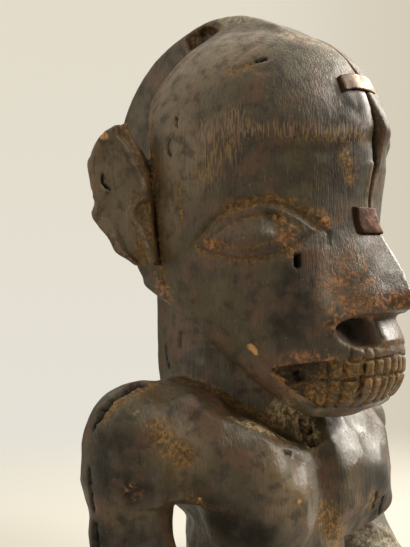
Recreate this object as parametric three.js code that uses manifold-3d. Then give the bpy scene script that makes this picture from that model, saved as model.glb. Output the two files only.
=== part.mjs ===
// A carved wooden reliquary figure, kept here as a bust: head with a crest, ears, open mouth and
// long neck on square shoulders, cut flat across the torso and both arms.
// Millimetres, +Z up, the face towards -Y, the figure's own right hand towards -X.
// Two metal repair strips lie over the crack that runs down the middle of the forehead.

import * as THREE from 'three';
import { mergeVertices } from 'three/addons/utils/BufferGeometryUtils.js';
import Module from 'manifold-3d';

const wasm = await Module();
wasm.setup();

// Driving dimensions
const SKULL_EQUATOR_Z = 163;
const SKULL_CAP_HEIGHT = 53.5;
const HEAD_CENTRE = [0, -6, 138];
const CREST_CENTRE_Z = 165;
const CREST_HALF_THICKNESS = 8.6;
const CHIP_FROM_Y = 12;
const CHIP_TO_Y = 24.5;
const EAR_CENTRE = [52.5, 22];
const EAR_LOW_Z = 126;
const EAR_HIGH_Z = 180;
const EAR_TURN = [0.42, 0.91];
const EYE_ANGLE = 58;
const EYE_HALF_ANGLE = 27;
const EYE_Z = 138.4;
const EYE_DEPTH = 1.8;
const EYE_SWELL = 1.7;
const EYEBALL_HALF_ANGLE = 15;
const EYEBALL_HALF_HEIGHT = 9.6;
const MOUTH_CENTRE_Y = -12;
const MOUTH_HALF_WIDTH = 35;
const MOUTH_REACH = 50;
const MOUTH_DEPTH = 6;
const TOOTH_PITCH = 5.6;
const TOOTH_GAP = 1.1;
const TOOTH_RECESS = 1.7;
const TEETH_A_SIDE = 7;
const GUM_Z = 96.3;
const NECK_RADIUS = 31;
const NECK_CENTRE_Y = 4.5;
const TORSO_TURN = THREE.MathUtils.degToRad(4);
const SHOULDER_HALF_WIDTH = 76;
const SHOULDER_CENTRE_Z = 60;
const SHOULDER_LEDGE_Z = 42.5;
const ARM_RADIUS = 15;
const CUT_DEPTH = 60;
const CRACK_DEPTH = 13;
const STRIP_GAP = 0.35;
const STRIP_THICKNESS = 1;
const STRIP_TAB = 3.2;
const CROWN_STRIP = { from: -12, to: 8, low: 45.3, high: 50.9 };
const BROW_STRIP = { from: -9.5, to: 9.5, low: 139.3, high: 148.6 };

// Smooth curve through a few knots, rising or falling without overshoot between them
function curve(knots, values) {
  const last = knots.length - 1;
  const steps = [];
  const slopes = [];
  for (let i = 0; i < last; i += 1) {
    steps.push((values[i + 1] - values[i]) / (knots[i + 1] - knots[i]));
  }
  for (let i = 0; i <= last; i += 1) {
    const before = steps[Math.max(i - 1, 0)];
    const after = steps[Math.min(i, last - 1)];
    const mean = 2 * before * after / (before + after);
    slopes.push(before * after > 0 ? mean : 0);
  }
  return (at) => {
    if (at <= knots[0]) {
      return values[0];
    }
    if (at >= knots[last]) {
      return values[last];
    }
    let i = 0;
    while (at > knots[i + 1]) {
      i += 1;
    }
    const width = knots[i + 1] - knots[i];
    const t = (at - knots[i]) / width;
    const rise = values[i] * (1 + 2 * t) * (1 - t) ** 2 + values[i + 1] * t * t * (3 - 2 * t);
    return rise + width * t * (1 - t) * (slopes[i] * (1 - t) - slopes[i + 1] * t);
  };
}

// Height curves of the head: front and back of the median outline, half width, widest place
const HEIGHTS = [66, 72, 76, 79, 83, 88, 95, 101, 107, 113, 120, 130, 140, 150, 163];
const frontAt = curve(HEIGHTS,
  [-34, -40, -48, -54.5, -59.5, -62, -62.8, -62.5, -60.3, -57, -53.5, -50.5, -49.5, -51.5, -55]);
const backAt = curve(HEIGHTS, [-4, 6, 10, 12, 14, 15, 15, 15, 16, 20, 28.5, 38.5, 41, 42, 41]);
const widthAt = curve(HEIGHTS,
  [18, 23, 26, 28.5, 31, 33.2, 35.3, 37, 38.8, 40.6, 42.2, 43.5, 44, 44.7, 46]);
const widestAt = curve(HEIGHTS, [-33, -31, -29, -27, -22, -17, -12, -9, -6, -4, -3, -2, -1, -1, -1]);
const squarenessAt = curve(HEIGHTS, [2, 2, 2, 2, 2, 2, 2, 2, 2.1, 2.2, 2.3, 2.35, 2.4, 2.3, 2.1]);
const maskEdgeAt = curve([118, 124, 130, 150, 163, 178, 190, 200],
  [7, 6.5, 7.4, 10, 12.2, 18.7, 26, 40]);

function clamp(value, low, high) {
  return Math.min(Math.max(value, low), high);
}

// 0 below a, 1 above b, with a soft passage between; b may lie below a
function ease(a, b, value) {
  const t = clamp((value - a) / (b - a), 0, 1);
  return t * t * (3 - 2 * t);
}

// Joined and trimmed distances, with a rounded passage of width k
function joined(a, b, k) {
  const h = Math.max(k - Math.abs(a - b), 0) / k;
  return Math.min(a, b) - h * h * k / 4;
}

function trimmed(a, b, k) {
  return -joined(-a, -b, k);
}

function ellipsoid(x, y, z, centre, radii) {
  const p = [x - centre[0], y - centre[1], z - centre[2]];
  const near = Math.hypot(p[0] / radii[0], p[1] / radii[1], p[2] / radii[2]) + 1e-9;
  const steep = Math.hypot(p[0] / radii[0] ** 2, p[1] / radii[1] ** 2, p[2] / radii[2] ** 2) + 1e-9;
  return near * (near - 1) / steep;
}

// Head without nose, mouth and eyes: below the equator one flat oval to each height, above it a cap
function ovals(x, y, z) {
  const side = Math.abs(x);
  const depth = y - widestAt(z);
  const behind = depth > 0;
  const reach = behind ? backAt(z) - widestAt(z) : widestAt(z) - frontAt(z);
  const n = behind ? 1.95 : squarenessAt(z);
  const plan = ((side / widthAt(z)) ** n + (Math.abs(depth) / reach) ** n) ** (1 / n);
  const rise = Math.max(z - SKULL_EQUATOR_Z, 0);
  const b = 2 + 0.4 * ease(15, -25, depth);
  const size = (plan ** b + (rise / SKULL_CAP_HEIGHT) ** b) ** (1 / b);
  const brow = 172 + 6 * ease(45, 5, side);
  const flat = 0.9 * ease(brow + 3, brow - 6, z) * ease(132, 162, z) * ease(2, -14, y);
  const hair = 2.6 * ease(-1.2, 1.2, y - maskEdgeAt(z)) * ease(120, 125, z);
  return Math.hypot(side, depth, rise) * (1 - 1 / Math.max(size, 0.05)) + flat + hair;
}

// The same with the jaw's underside, which climbs from the chin to the neck
function skull(x, y, z) {
  const jaw = (74 + 0.78 * (y + 40) - z) / Math.hypot(1, 0.78);
  return trimmed(ovals(x, y, z), jaw, 4);
}

// Ear: a flat flange, dished on its outer face, with a ridge winding down inside
const earOuterAt = curve([124, 127, 129.5, 133, 137, 142, 151, 157, 164, 171, 176, 179, 181],
  [-11, -9, -6.6, -4, -1, 6, 8.8, 9.9, 10.5, 9, 6.3, 1, -4]);
const earInnerAt = curve([124, 127, 129.5, 133, 137, 142, 151, 157, 164, 171, 176, 179, 181],
  [-15, -17, -17, -16.5, -16.2, -15.8, -15.5, -14.8, -13.4, -11, -8.8, -6, -6]);
const earRidgeAt = curve([129, 141, 149, 158, 166], [-6, -9.5, -6.5, -11, -12]);

function ear(side) {
  const flange = new THREE.BoxGeometry(1, 1, 1, 8, 1, 12);
  return reshaped(flange, (x, y, z) => {
    const level = EAR_LOW_Z + (EAR_HIGH_Z - EAR_LOW_Z) * (z + 0.5);
    const inner = earInnerAt(level);
    const along = inner + (earOuterAt(level) - inner) * (x + 0.5);
    const inside = 1 - 2 * Math.abs(x);
    const dish = 3.2 * ease(0.12, 0.6, inside) * ease(176, 168, level);
    const ridge = 2.6 * Math.exp(-(((along - earRidgeAt(level)) / 2.6) ** 2)) * ease(166, 158, level);
    const rounding = 1.2 * ease(0.2, 0, inside);
    const through = y < 0 ? 2.2 - dish + ridge - rounding : -6.5 + 0.9 * Math.min(along, 0);
    const out = EAR_CENTRE[0] + along * EAR_TURN[0] + through * EAR_TURN[1];
    const back = EAR_CENTRE[1] + along * EAR_TURN[1] - through * EAR_TURN[0];
    return [side * out, back, level];
  });
}

// The torso stands a few degrees off the head: its own coordinates
function turned(x, y) {
  const c = Math.cos(TORSO_TURN);
  const s = Math.sin(TORSO_TURN);
  const depth = y - NECK_CENTRE_Y;
  return [x * c - depth * s, x * s + depth * c + NECK_CENTRE_Y];
}

const waistWidthAt = curve([-10, 0, 20, 36, 60], [33, 32, 30, 30, 36]);
const waistDepthAt = curve([-10, 0, 20, 36, 60], [29, 28, 27, 26.5, 24]);

// Shoulder bar, rounded shoulders, upper back and waist in one
function trunk(worldX, worldY, z) {
  const [x, y] = turned(worldX, worldY);
  const side = Math.abs(x);
  const long = (side / SHOULDER_HALF_WIDTH) ** 3;
  const bar = Math.sqrt(long + ((y - 3.5) / 18.5) ** 2 + ((z - SHOULDER_CENTRE_Z) / 24.5) ** 2);
  const reach = Math.hypot(Math.max(side - 58, 0), y - 3.5, z - SHOULDER_CENTRE_Z);
  let d = reach * (1 - 1 / Math.max(bar, 0.05));
  d = joined(d, ellipsoid(side, y, z, [60, 2.5, 58], [18, 18, 20]), 8);
  const oval = Math.hypot(x / waistWidthAt(z), (y + 8) / waistDepthAt(z));
  const waist = Math.hypot(x, y + 8) * (1 - 1 / Math.max(oval, 0.05));
  d = joined(d, Math.max(waist, z - 62, -9 - z), 8);
  return joined(d, ellipsoid(x, y, z, [0, 7, 58], [46, 18, 26]), 5);
}

// Breasts: round in plan, drawn from bottom to top by their radius at each height. The far one is
// cut into a few flat facets.
const BREASTS = [
  {
    x: -26,
    y: -21.5,
    z: 50,
    radiusAt: curve([17, 20, 24, 28.5, 36, 43, 50, 57, 65, 73, 80, 85],
      [0.5, 6, 10.2, 13.4, 17.5, 20.6, 22.3, 22, 19.5, 15.5, 9.5, 0.5]),
    low: 17,
    facets: [],
  },
  {
    x: 25,
    y: -24,
    z: 50,
    radiusAt: curve([25, 27, 29, 32, 36, 43, 50, 57, 65, 73, 80, 85],
      [0.5, 9, 14, 18, 20.5, 22.3, 22.5, 21.5, 19, 15.5, 9.5, 0.5]),
    low: 25,
    facets: [[-0.2, -0.55, 0.8], [-0.35, -0.93, 0.05], [0.35, -0.93, 0.1], [0, -0.8, -0.6]],
  },
];
const BREAST_TOP_Z = 85;
const FACET_DISTANCE = 21.3;

function breastField(breast) {
  return (x, y, z) => {
    const radius = breast.radiusAt(z);
    const stretch = y < breast.y ? 1.07 : 0.9;
    const size = Math.hypot(x - breast.x, (y - breast.y) / stretch) / radius;
    const d = Math.hypot(x - breast.x, y - breast.y) * (1 - 1 / Math.max(size, 0.05));
    const planes = breast.facets.map(([nx, ny, nz]) => {
      const ahead = (x - breast.x) * nx + (y - breast.y) * ny + (z - breast.z) * nz;
      return ahead / Math.hypot(nx, ny, nz) - FACET_DISTANCE;
    });
    return Math.max(d, breast.low - z, z - BREAST_TOP_Z, ...planes);
  };
}

// Distance along a ray from a point inside to where the field changes sign
function reachAlong(field, origin, direction, limit) {
  let inside = 0;
  let outside = limit;
  const at = (t) => field(
    origin[0] + direction[0] * t,
    origin[1] + direction[1] * t,
    origin[2] + direction[2] * t,
  );
  for (let t = 1; t < limit; t += 1.5) {
    if (at(t) > 0) {
      outside = t;
      break;
    }
    inside = t;
  }
  for (let i = 0; i < 24; i += 1) {
    const middle = (inside + outside) / 2;
    if (at(middle) > 0) {
      outside = middle;
    } else {
      inside = middle;
    }
  }
  return inside;
}

// The same geometry with its shared corners merged, so that only positions are left
function welded(geometry) {
  if (!geometry.getAttribute('uv')) {
    return geometry;
  }
  const bare = geometry.clone();
  bare.deleteAttribute('normal');
  bare.deleteAttribute('uv');
  return mergeVertices(bare, 1e-4);
}

// Moves every vertex of a geometry to the place a function gives for it
function reshaped(original, place) {
  const geometry = welded(original);
  const position = geometry.getAttribute('position');
  for (let i = 0; i < position.count; i += 1) {
    const [x, y, z] = place(position.getX(i), position.getY(i), position.getZ(i));
    position.setXYZ(i, x, y, z);
  }
  return geometry;
}

// A sphere whose vertices run out along their own directions to the surface of a field. Its poles
// stand on the Z axis, and a crowding above 1 draws its meridians towards the front.
function castSphere(field, centre, around, down, crowding = 1, limit = 130) {
  const sphere = new THREE.SphereGeometry(1, around, down).rotateX(Math.PI / 2);
  return reshaped(sphere, (x, y, z) => {
    const level = Math.hypot(x, y);
    const bearing = level < 1e-6 ? 0 : Math.atan2(x, -y);
    const angle = Math.sign(bearing) * Math.PI * (Math.abs(bearing) / Math.PI) ** crowding;
    const direction = [Math.sin(angle) * level, -Math.cos(angle) * level, z];
    const reach = reachAlong(field, centre, direction, limit);
    return centre.map((value, axis) => value + direction[axis] * reach);
  });
}

// Closed geometry to solid, turned right side out if it was mirrored
function solid(geometry) {
  const bare = welded(geometry);
  const vertProperties = new Float32Array(bare.getAttribute('position').array);
  const corners = Array.from(bare.getIndex().array);
  const faces = [];
  let volume = 0;
  for (let i = 0; i < corners.length; i += 3) {
    const [a, b, c] = corners.slice(i, i + 3);
    if (a === b || b === c || c === a) {
      continue;
    }
    faces.push(a, b, c);
    const p = [a, b, c].map((corner) => new THREE.Vector3().fromArray(vertProperties, corner * 3));
    volume += p[0].dot(p[1].cross(p[2]));
  }
  if (volume < 0) {
    faces.reverse();
  }
  const triVerts = Uint32Array.from(faces);
  return new wasm.Manifold(new wasm.Mesh({ numProp: 3, vertProperties, triVerts }));
}

function geometryOf(manifold) {
  const mesh = manifold.getMesh();
  const geometry = new THREE.BufferGeometry();
  geometry.setAttribute('position', new THREE.BufferAttribute(mesh.vertProperties, 3));
  geometry.setIndex(new THREE.BufferAttribute(mesh.triVerts, 1));
  geometry.computeVertexNormals();
  return geometry;
}

function union(first, ...others) {
  return others.reduce((sum, other) => sum.add(other), first);
}

// A point on the face, by its bearing from the middle of the face and its height
function onFace(bearing, z, offset) {
  const angle = THREE.MathUtils.degToRad(bearing);
  const direction = [Math.sin(angle), -Math.cos(angle), 0];
  const reach = reachAlong(skull, [0, -3, z], direction, 90) + offset;
  return [direction[0] * reach, -3 + direction[1] * reach, z];
}

// A lens laid on the face in the outline of an almond: height outside and depth inside it
function almond(side, scale, height, depth, blunt) {
  const sphere = new THREE.SphereGeometry(1, 18, 6).rotateX(Math.PI / 2);
  return reshaped(sphere, (x, y, z) => {
    const a = clamp(x, -1, 1);
    const half = z > 0 ? 11.5 * (1 - Math.abs(a) ** 1.9) : 10.5 * (1 - Math.abs(a) ** 1.6);
    const level = EYE_Z - 2 * a;
    const fill = Math.sqrt(Math.max(1 - a * a, 1e-6));
    const lift = y < 0 ? height * (-y) ** blunt : -depth * y ** blunt;
    const bearing = side * (EYE_ANGLE + EYE_HALF_ANGLE * a * scale);
    return onFace(bearing, level + z / fill * half * scale, lift);
  });
}

// The eyeball: a low dome on the floor of the almond, broader than it is high
function eyeball(side) {
  const sphere = new THREE.SphereGeometry(1, 14, 8).rotateX(Math.PI / 2);
  return reshaped(sphere, (x, y, z) => {
    const lift = y < 0 ? EYE_DEPTH * (-1 - EYE_SWELL * y) : -EYE_DEPTH - 3 * y;
    const bearing = side * (EYE_ANGLE - 0.5 + EYEBALL_HALF_ANGLE * x);
    return onFace(bearing, EYE_Z + EYEBALL_HALF_HEIGHT * z, lift);
  });
}

// Where the mouth is open: its upper and lower edge by the distance from the middle
const lipTopAt = curve([0, 9, 12.5, 15, 25, 34], [101.3, 101, 100.3, 95.6, 94.8, 92.6]);
const lipLowAt = curve([0, 10, 18, 22, 26, 30, 34], [82.5, 81.5, 80.3, 80.3, 82.5, 86.5, 91.4]);
const biteAt = curve([0, 14, 24, 34], [90.8, 90.3, 88, 92]);

// A point on the lips, by the angle of the oval they run along, and its height
function onLips(angle, z, offset) {
  const across = MOUTH_HALF_WIDTH * Math.sin(angle);
  const ahead = MOUTH_REACH * Math.cos(angle);
  const length = Math.hypot(across, ahead);
  const direction = [across / length, -ahead / length, 0];
  const reach = reachAlong(ovals, [0, MOUTH_CENTRE_Y, z], direction, 90) + offset;
  return [direction[0] * reach, MOUTH_CENTRE_Y + direction[1] * reach, z];
}

// The oval's angle at a length along it from the middle
function angleAtArc(length) {
  let angle = length / 40;
  for (let i = 0; i < 8; i += 1) {
    const error = 44.5 * angle - 3.75 * Math.sin(2 * angle) - length;
    angle -= error / (44.5 - 7.5 * Math.cos(2 * angle));
  }
  return angle;
}

// A block on the lips between two lengths along them, two heights and two offsets
function lipBlock(from, to, lowAt, highAt, inner, outer, segments) {
  const block = new THREE.BoxGeometry(1, 1, 1, segments, 1, 1);
  return reshaped(block, (x, y, z) => {
    const angle = angleAtArc(from + (to - from) * (x + 0.5));
    const away = Math.abs(MOUTH_HALF_WIDTH * Math.sin(angle));
    const low = lowAt(away);
    const level = low + (highAt(away) - low) * (z + 0.5);
    return onLips(angle, level, y < 0 ? outer(away) : inner(away));
  });
}

// Two rows of teeth, and over the front ones a third row cut in the gum; they stand back from the
// lips, and leave the corners of the mouth hollow
function teeth() {
  const half = TOOTH_GAP / 2;
  const inner = () => -MOUTH_DEPTH - 2;
  const outer = (away) => -TOOTH_RECESS - 2.6 * ease(17, 29, away);
  const bitten = (away) => biteAt(away) + half;
  const under = (away) => biteAt(away) - half;
  const lipTop = (away) => lipTopAt(away) + 1;
  const lipLow = (away) => lipLowAt(away) - 1;
  const blocks = [];
  for (let k = -TEETH_A_SIDE; k < TEETH_A_SIDE; k += 1) {
    const from = k * TOOTH_PITCH + half;
    const to = (k + 1) * TOOTH_PITCH - half;
    const gummed = Math.abs(from + to) / 2 < 16;
    const top = gummed ? () => GUM_Z - half : lipTop;
    blocks.push(lipBlock(from, to, bitten, top, inner, outer, 1));
    blocks.push(lipBlock(from, to, lipLow, under, inner, outer, 1));
    if (gummed) {
      blocks.push(lipBlock(from, to, () => GUM_Z + half, lipTop, inner, outer, 1));
    }
  }
  return blocks.map(solid);
}

// Nose: a wedge with a broad flat back, drawn through its crease, its edge and its ridge
const NOSE_HEIGHTS = [100, 109, 117, 124, 131, 140, 149, 158, 166];
const creaseXAt = curve(NOSE_HEIGHTS, [22, 22, 22, 22, 21.5, 18.5, 13, 8, 4]);
const creaseYAt = curve(NOSE_HEIGHTS, [-45, -45, -44.5, -43.5, -43, -44, -47.5, -50.5, -53]);
const edgeXAt = curve(NOSE_HEIGHTS, [15.5, 16, 15.5, 12.5, 9.5, 7, 5.5, 4.5, 3]);
const edgeYAt = curve(NOSE_HEIGHTS, [-57, -58, -58.5, -58, -55.8, -52.5, -50.8, -51.5, -53.5]);
const ridgeYAt = curve(NOSE_HEIGHTS, [-66, -67, -68.2, -65.5, -61.2, -55.6, -52.3, -52.8, -54]);
const NOSE_BASE_Z = 109.8;
const NOSE_TOP_Z = 163;

function nose() {
  const prism = new THREE.BoxGeometry(1, 1, 1, 10, 1, 10);
  return reshaped(prism, (x, y, z) => {
    const level = NOSE_BASE_Z + (NOSE_TOP_Z - NOSE_BASE_Z) * (z + 0.5);
    const tip = ridgeYAt(level) + 0.7;
    const edgeX = edgeXAt(level);
    const edgeY = edgeYAt(level);
    const slope = (creaseYAt(level) - edgeY) / (creaseXAt(level) - edgeX);
    const creaseX = creaseXAt(level) + 1;
    const widths = [0, 0.45 * edgeX, 0.85 * edgeX, edgeX + 0.6, 0.5 * (edgeX + creaseX), creaseX];
    const across = widths[Math.round(Math.abs(x) * 10)];
    const roof = tip + (edgeY - tip) * Math.min(across / edgeX, 1) ** 1.2;
    const front = roof + slope * Math.max(across - edgeX, 0);
    return [Math.sign(x) * across, y < 0 ? front : -34, level];
  });
}

function nostril(side) {
  const hollow = new THREE.BoxGeometry(9.4, 20, 8.8);
  return reshaped(hollow, (x, y, z) => [side * (13 + x), -57 + y - 0.9 * z, 105.4 + z]);
}

// Crest: a half disc of hair on edge, from the forehead over the crown and down to the nape
const crestReachAt = curve([-75, -60, -48, -30, -15, 0, 30, 60, 75, 90, 100, 110, 120],
  [52, 52, 53.5, 56.5, 58.5, 59, 58.5, 58.5, 59.3, 58.5, 56, 52.5, 47]);

function crest() {
  const rim = [];
  const samples = 34;
  for (let i = 0; i <= samples; i += 1) {
    const degrees = -62 + 182 * i / samples;
    const angle = THREE.MathUtils.degToRad(degrees);
    const reach = crestReachAt(degrees) - 1;
    rim.push(new THREE.Vector2(Math.cos(angle) * reach, Math.sin(angle) * reach));
  }
  const outline = new THREE.Shape(rim);
  const options = {
    depth: 2 * CREST_HALF_THICKNESS - 3,
    bevelEnabled: true,
    bevelThickness: 1.5,
    bevelSize: 1,
    bevelSegments: 1,
    curveSegments: 1,
  };
  const band = new THREE.ExtrudeGeometry(outline, options);
  return reshaped(band, (x, y, z) => [z + 1.5 - CREST_HALF_THICKNESS, x, y + CREST_CENTRE_Z]);
}

// The broken-out place on the near side of the crest
function crestChip() {
  const block = new THREE.BoxGeometry(1, 1, 1);
  return reshaped(block, (x, y, z) => {
    const top = z > 0;
    const depth = y < 0 ? CHIP_FROM_Y - (top ? 1 : -1) : CHIP_TO_Y + (top ? 1.5 : -1.5);
    const inner = y < 0 ? 3 : -0.5;
    return [x < 0 ? -14 : inner, depth, top ? 228 : 212.5 - (y > 0 ? 3.5 : 0)];
  });
}

const neckBackAt = curve([50, 70, 88, 100, 140], [20, 25, 30, 31, 31]);

function neck() {
  const column = new THREE.CylinderGeometry(1, 1, 1, 28, 3).rotateX(Math.PI / 2);
  return reshaped(column, (x, y, z) => {
    const level = 52 + 76 * (z + 0.5);
    const depth = y > 0 ? neckBackAt(level) : NECK_RADIUS;
    return [x * NECK_RADIUS, NECK_CENTRE_Y + y * depth, level];
  });
}

// Upper arm and the start of the forearm: a limb round a bent line, running on below the cut
function arm(side, elbow, end) {
  const limb = new THREE.CylinderGeometry(1, 1, 1, 16, 6).rotateX(Math.PI / 2);
  const shoulder = new THREE.Vector3(61, 4, 56);
  const bend = new THREE.QuadraticBezierCurve3(shoulder, elbow, end);
  return reshaped(limb, (x, y, z) => {
    const along = 0.5 - z;
    const middle = bend.getPoint(along);
    const lean = bend.getTangent(along);
    const across = new THREE.Vector3(1, 0, 0);
    const forward = new THREE.Vector3().crossVectors(lean, across).normalize();
    const radius = ARM_RADIUS - 0.6 * along;
    const local = middle.addScaledVector(across, x * radius).addScaledVector(forward, y * radius);
    const c = Math.cos(TORSO_TURN);
    const s = Math.sin(TORSO_TURN);
    const depth = local.y - NECK_CENTRE_Y;
    const px = side * local.x;
    return [px * c + depth * s, -px * s + depth * c + NECK_CENTRE_Y, local.z];
  });
}

// The drying crack down the forehead: where it runs and how wide it gapes at each height
const crackXAt = curve([146, 160, 168, 175, 185, 200, 214], [-3.5, -3.5, -1.8, -1.5, -0.5, 0.5, 1]);
const crackWidthAt = curve([146, 153, 160, 168, 174, 178, 184, 195, 214],
  [2.2, 2.8, 4, 6, 6, 4, 1.8, 1.4, 1]);

// A point on the median outline of the forehead, by its angle above the horizon
function onForehead(angle, x, offset) {
  const direction = [0, -Math.cos(angle), Math.sin(angle)];
  const reach = reachAlong(skull, [x, -8, 150], direction, 90) + offset;
  return [x, -8 + direction[1] * reach, 150 + direction[2] * reach];
}

function crack() {
  const wedge = new THREE.BoxGeometry(1, 1, 1, 1, 1, 14);
  return reshaped(wedge, (x, y, z) => {
    const angle = THREE.MathUtils.degToRad(-2 + 74 * (z + 0.5));
    const level = onForehead(angle, 0, 0)[2];
    const width = crackWidthAt(level) * (y < 0 ? 1.15 : 0.3);
    return onForehead(angle, crackXAt(level) + x * width, y < 0 ? 4 : -CRACK_DEPTH);
  });
}

// Repair strips. Each is a staple: a band over the wood with both ends turned down into slots.
// pointAt gives a point from the distance across, the place along the band's width and the offset.
function strip(from, to, low, high, pointAt, grow) {
  const inner = STRIP_GAP - grow;
  const outer = STRIP_GAP + STRIP_THICKNESS + grow;
  const box = (segments, left, right, deep) => {
    const piece = new THREE.BoxGeometry(1, 1, 1, segments, 1, 1);
    return solid(reshaped(piece, (x, y, z) => {
      const across = left + (right - left) * (x + 0.5);
      const offset = y < 0 ? outer : deep;
      return pointAt(across, z < 0 ? low : high, offset);
    }));
  };
  const turn = STRIP_THICKNESS + grow;
  const band = box(7, from - grow, to + grow, inner);
  const left = box(1, from - grow, from + turn, -STRIP_TAB - grow);
  const right = box(1, to - turn, to + grow, -STRIP_TAB - grow);
  return union(band, left, right);
}

function crownStrip(grow) {
  const low = CROWN_STRIP.low - grow;
  const high = CROWN_STRIP.high + grow;
  const pointAt = (across, degrees, offset) => {
    return onForehead(THREE.MathUtils.degToRad(degrees), across, offset);
  };
  return strip(CROWN_STRIP.from, CROWN_STRIP.to, low, high, pointAt, grow);
}

function browStrip(grow) {
  const low = BROW_STRIP.low - grow;
  const high = BROW_STRIP.high + grow;
  const pointAt = (across, z, offset) => {
    const away = Math.abs(across);
    const share = clamp(away / edgeXAt(z), 0, 1);
    const slope = (creaseYAt(z) - edgeYAt(z)) / (creaseXAt(z) - edgeXAt(z));
    const ridge = ridgeYAt(z) + 0.6 + (edgeYAt(z) - ridgeYAt(z) - 0.6) * share ** 1.3;
    const flank = slope * Math.max(away - edgeXAt(z), 0);
    return [across, ridge + flank - offset, z];
  };
  return strip(BROW_STRIP.from, BROW_STRIP.to, low, high, pointAt, grow);
}

// The wood, carved from one log
function carvedBust() {
  const brow = [-1, 1].map((side) => solid(almond(side, 1.1, 0.9, 3, 0.5)));
  const socket = [-1, 1].map((side) => solid(almond(side, 1, 6, EYE_DEPTH, 0.35)));
  const ball = [-1, 1].map((side) => solid(eyeball(side)));
  const ears = [-1, 1].map((side) => solid(ear(side)));
  const mouth = lipBlock(-52, 52, lipLowAt, lipTopAt, () => -MOUTH_DEPTH, () => 6, 26);
  let head = solid(castSphere(skull, HEAD_CENTRE, 44, 28, 1.25));
  head = union(head, ...brow);
  head = socket.reduce((rest, cut) => rest.subtract(cut), head);
  head = union(head, ...ball, solid(nose()));
  head = head.subtract(solid(nostril(-1))).subtract(solid(nostril(1)));
  head = union(head.subtract(solid(mouth)), ...teeth());
  head = union(head, solid(crest()).subtract(solid(crestChip())), ...ears);
  const breasts = BREASTS.map((breast) => {
    return solid(castSphere(breastField(breast), [breast.x, breast.y, breast.z], 18, 11));
  });
  const nearArm = solid(arm(-1, new THREE.Vector3(65, 7, 26), new THREE.Vector3(67, -24, -8)));
  const farArm = solid(arm(1, new THREE.Vector3(65, -3, 26), new THREE.Vector3(66, -24, -8)));
  const body = solid(castSphere(trunk, [0, 0, 58], 32, 20));
  const armpits = [-1, 1].map((side) => {
    const block = new THREE.BoxGeometry(70, 80, 40).translate(side * 73, 0, SHOULDER_LEDGE_Z - 20);
    return solid(block.rotateZ(-TORSO_TURN));
  });
  const torso = body.subtract(armpits[0]).subtract(armpits[1]);
  const whole = union(head, solid(neck()), torso, ...breasts, nearArm, farArm);
  const ground = new THREE.BoxGeometry(400, 400, CUT_DEPTH).translate(0, 0, -CUT_DEPTH / 2);
  const standing = whole.subtract(solid(ground)).subtract(solid(crack()));
  return standing.subtract(crownStrip(0.3)).subtract(browStrip(0.3));
}

const wood = new THREE.MeshStandardMaterial({ name: 'carved_wood', color: 0x3a2c20, roughness: 0.5 });
const copper = new THREE.MeshStandardMaterial({
  name: 'copper_strip',
  color: 0x9c6a4a,
  roughness: 0.4,
  metalness: 1,
});
const darkMetal = new THREE.MeshStandardMaterial({
  name: 'dark_strip',
  color: 0x4a3228,
  roughness: 0.55,
  metalness: 1,
});

function named(name, manifold, material) {
  const mesh = new THREE.Mesh(geometryOf(manifold), material);
  mesh.name = name;
  return mesh;
}

const figure = new THREE.Group();
figure.add(named('carved_bust', carvedBust(), wood));
figure.add(named('crown_strip', crownStrip(0), copper));
figure.add(named('brow_strip', browStrip(0), darkMetal));

export default figure;
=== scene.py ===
# %% [markdown]
# # A carved guardian figure, as a bust
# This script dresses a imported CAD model: a bust of dark, oiled wood with two metal repair strips.
# The CAD gives the size and the place of everything. Here the wood gets its carved surface, its
# cracks and its worn skin, the strips get their hammered edges, and the room gets its light.
# Lengths are in millimetres while shapes are worked out, and in metres in Blender.

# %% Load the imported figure
import math

import bpy
import numpy as np
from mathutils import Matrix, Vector


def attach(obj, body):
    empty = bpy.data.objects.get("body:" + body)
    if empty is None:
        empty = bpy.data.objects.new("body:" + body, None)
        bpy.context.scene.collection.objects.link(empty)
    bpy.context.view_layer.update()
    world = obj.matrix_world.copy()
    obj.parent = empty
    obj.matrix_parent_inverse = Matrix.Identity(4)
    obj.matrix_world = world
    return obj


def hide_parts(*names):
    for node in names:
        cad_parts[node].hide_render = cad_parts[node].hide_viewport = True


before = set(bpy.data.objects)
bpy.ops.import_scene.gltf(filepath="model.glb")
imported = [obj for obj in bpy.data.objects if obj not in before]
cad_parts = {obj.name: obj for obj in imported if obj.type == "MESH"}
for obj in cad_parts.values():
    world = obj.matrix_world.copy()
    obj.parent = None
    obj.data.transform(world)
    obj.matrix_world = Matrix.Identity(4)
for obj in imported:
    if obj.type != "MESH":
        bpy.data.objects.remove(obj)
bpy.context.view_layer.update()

MM = 0.001
print("CAD nodes:", sorted(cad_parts))

# %% [markdown]
# ## The camera
# The photograph looks level at the figure's right cheek from quite near, 55 degrees round from the
# front. A real lens is found from the picture's own scale: at the head's distance one pixel is
# 0.38 mm. The camera comes first, so that each later piece can be judged in the picture.

# %% Camera
CAMERA_BEARING = math.radians(-55)
CAMERA_DISTANCE = 450.0
CAMERA_HEIGHT = 125.0
MM_PER_PIXEL = 0.38
IMAGE_HEIGHT = 547
SENSOR = 36.0
SIDE_SHIFT = 19.8

towards_camera = Vector((math.sin(CAMERA_BEARING), -math.cos(CAMERA_BEARING), 0))
picture_right = Vector((math.cos(CAMERA_BEARING), math.sin(CAMERA_BEARING), 0))
aim = Vector((0, -4, CAMERA_HEIGHT)) - SIDE_SHIFT * picture_right

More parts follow.
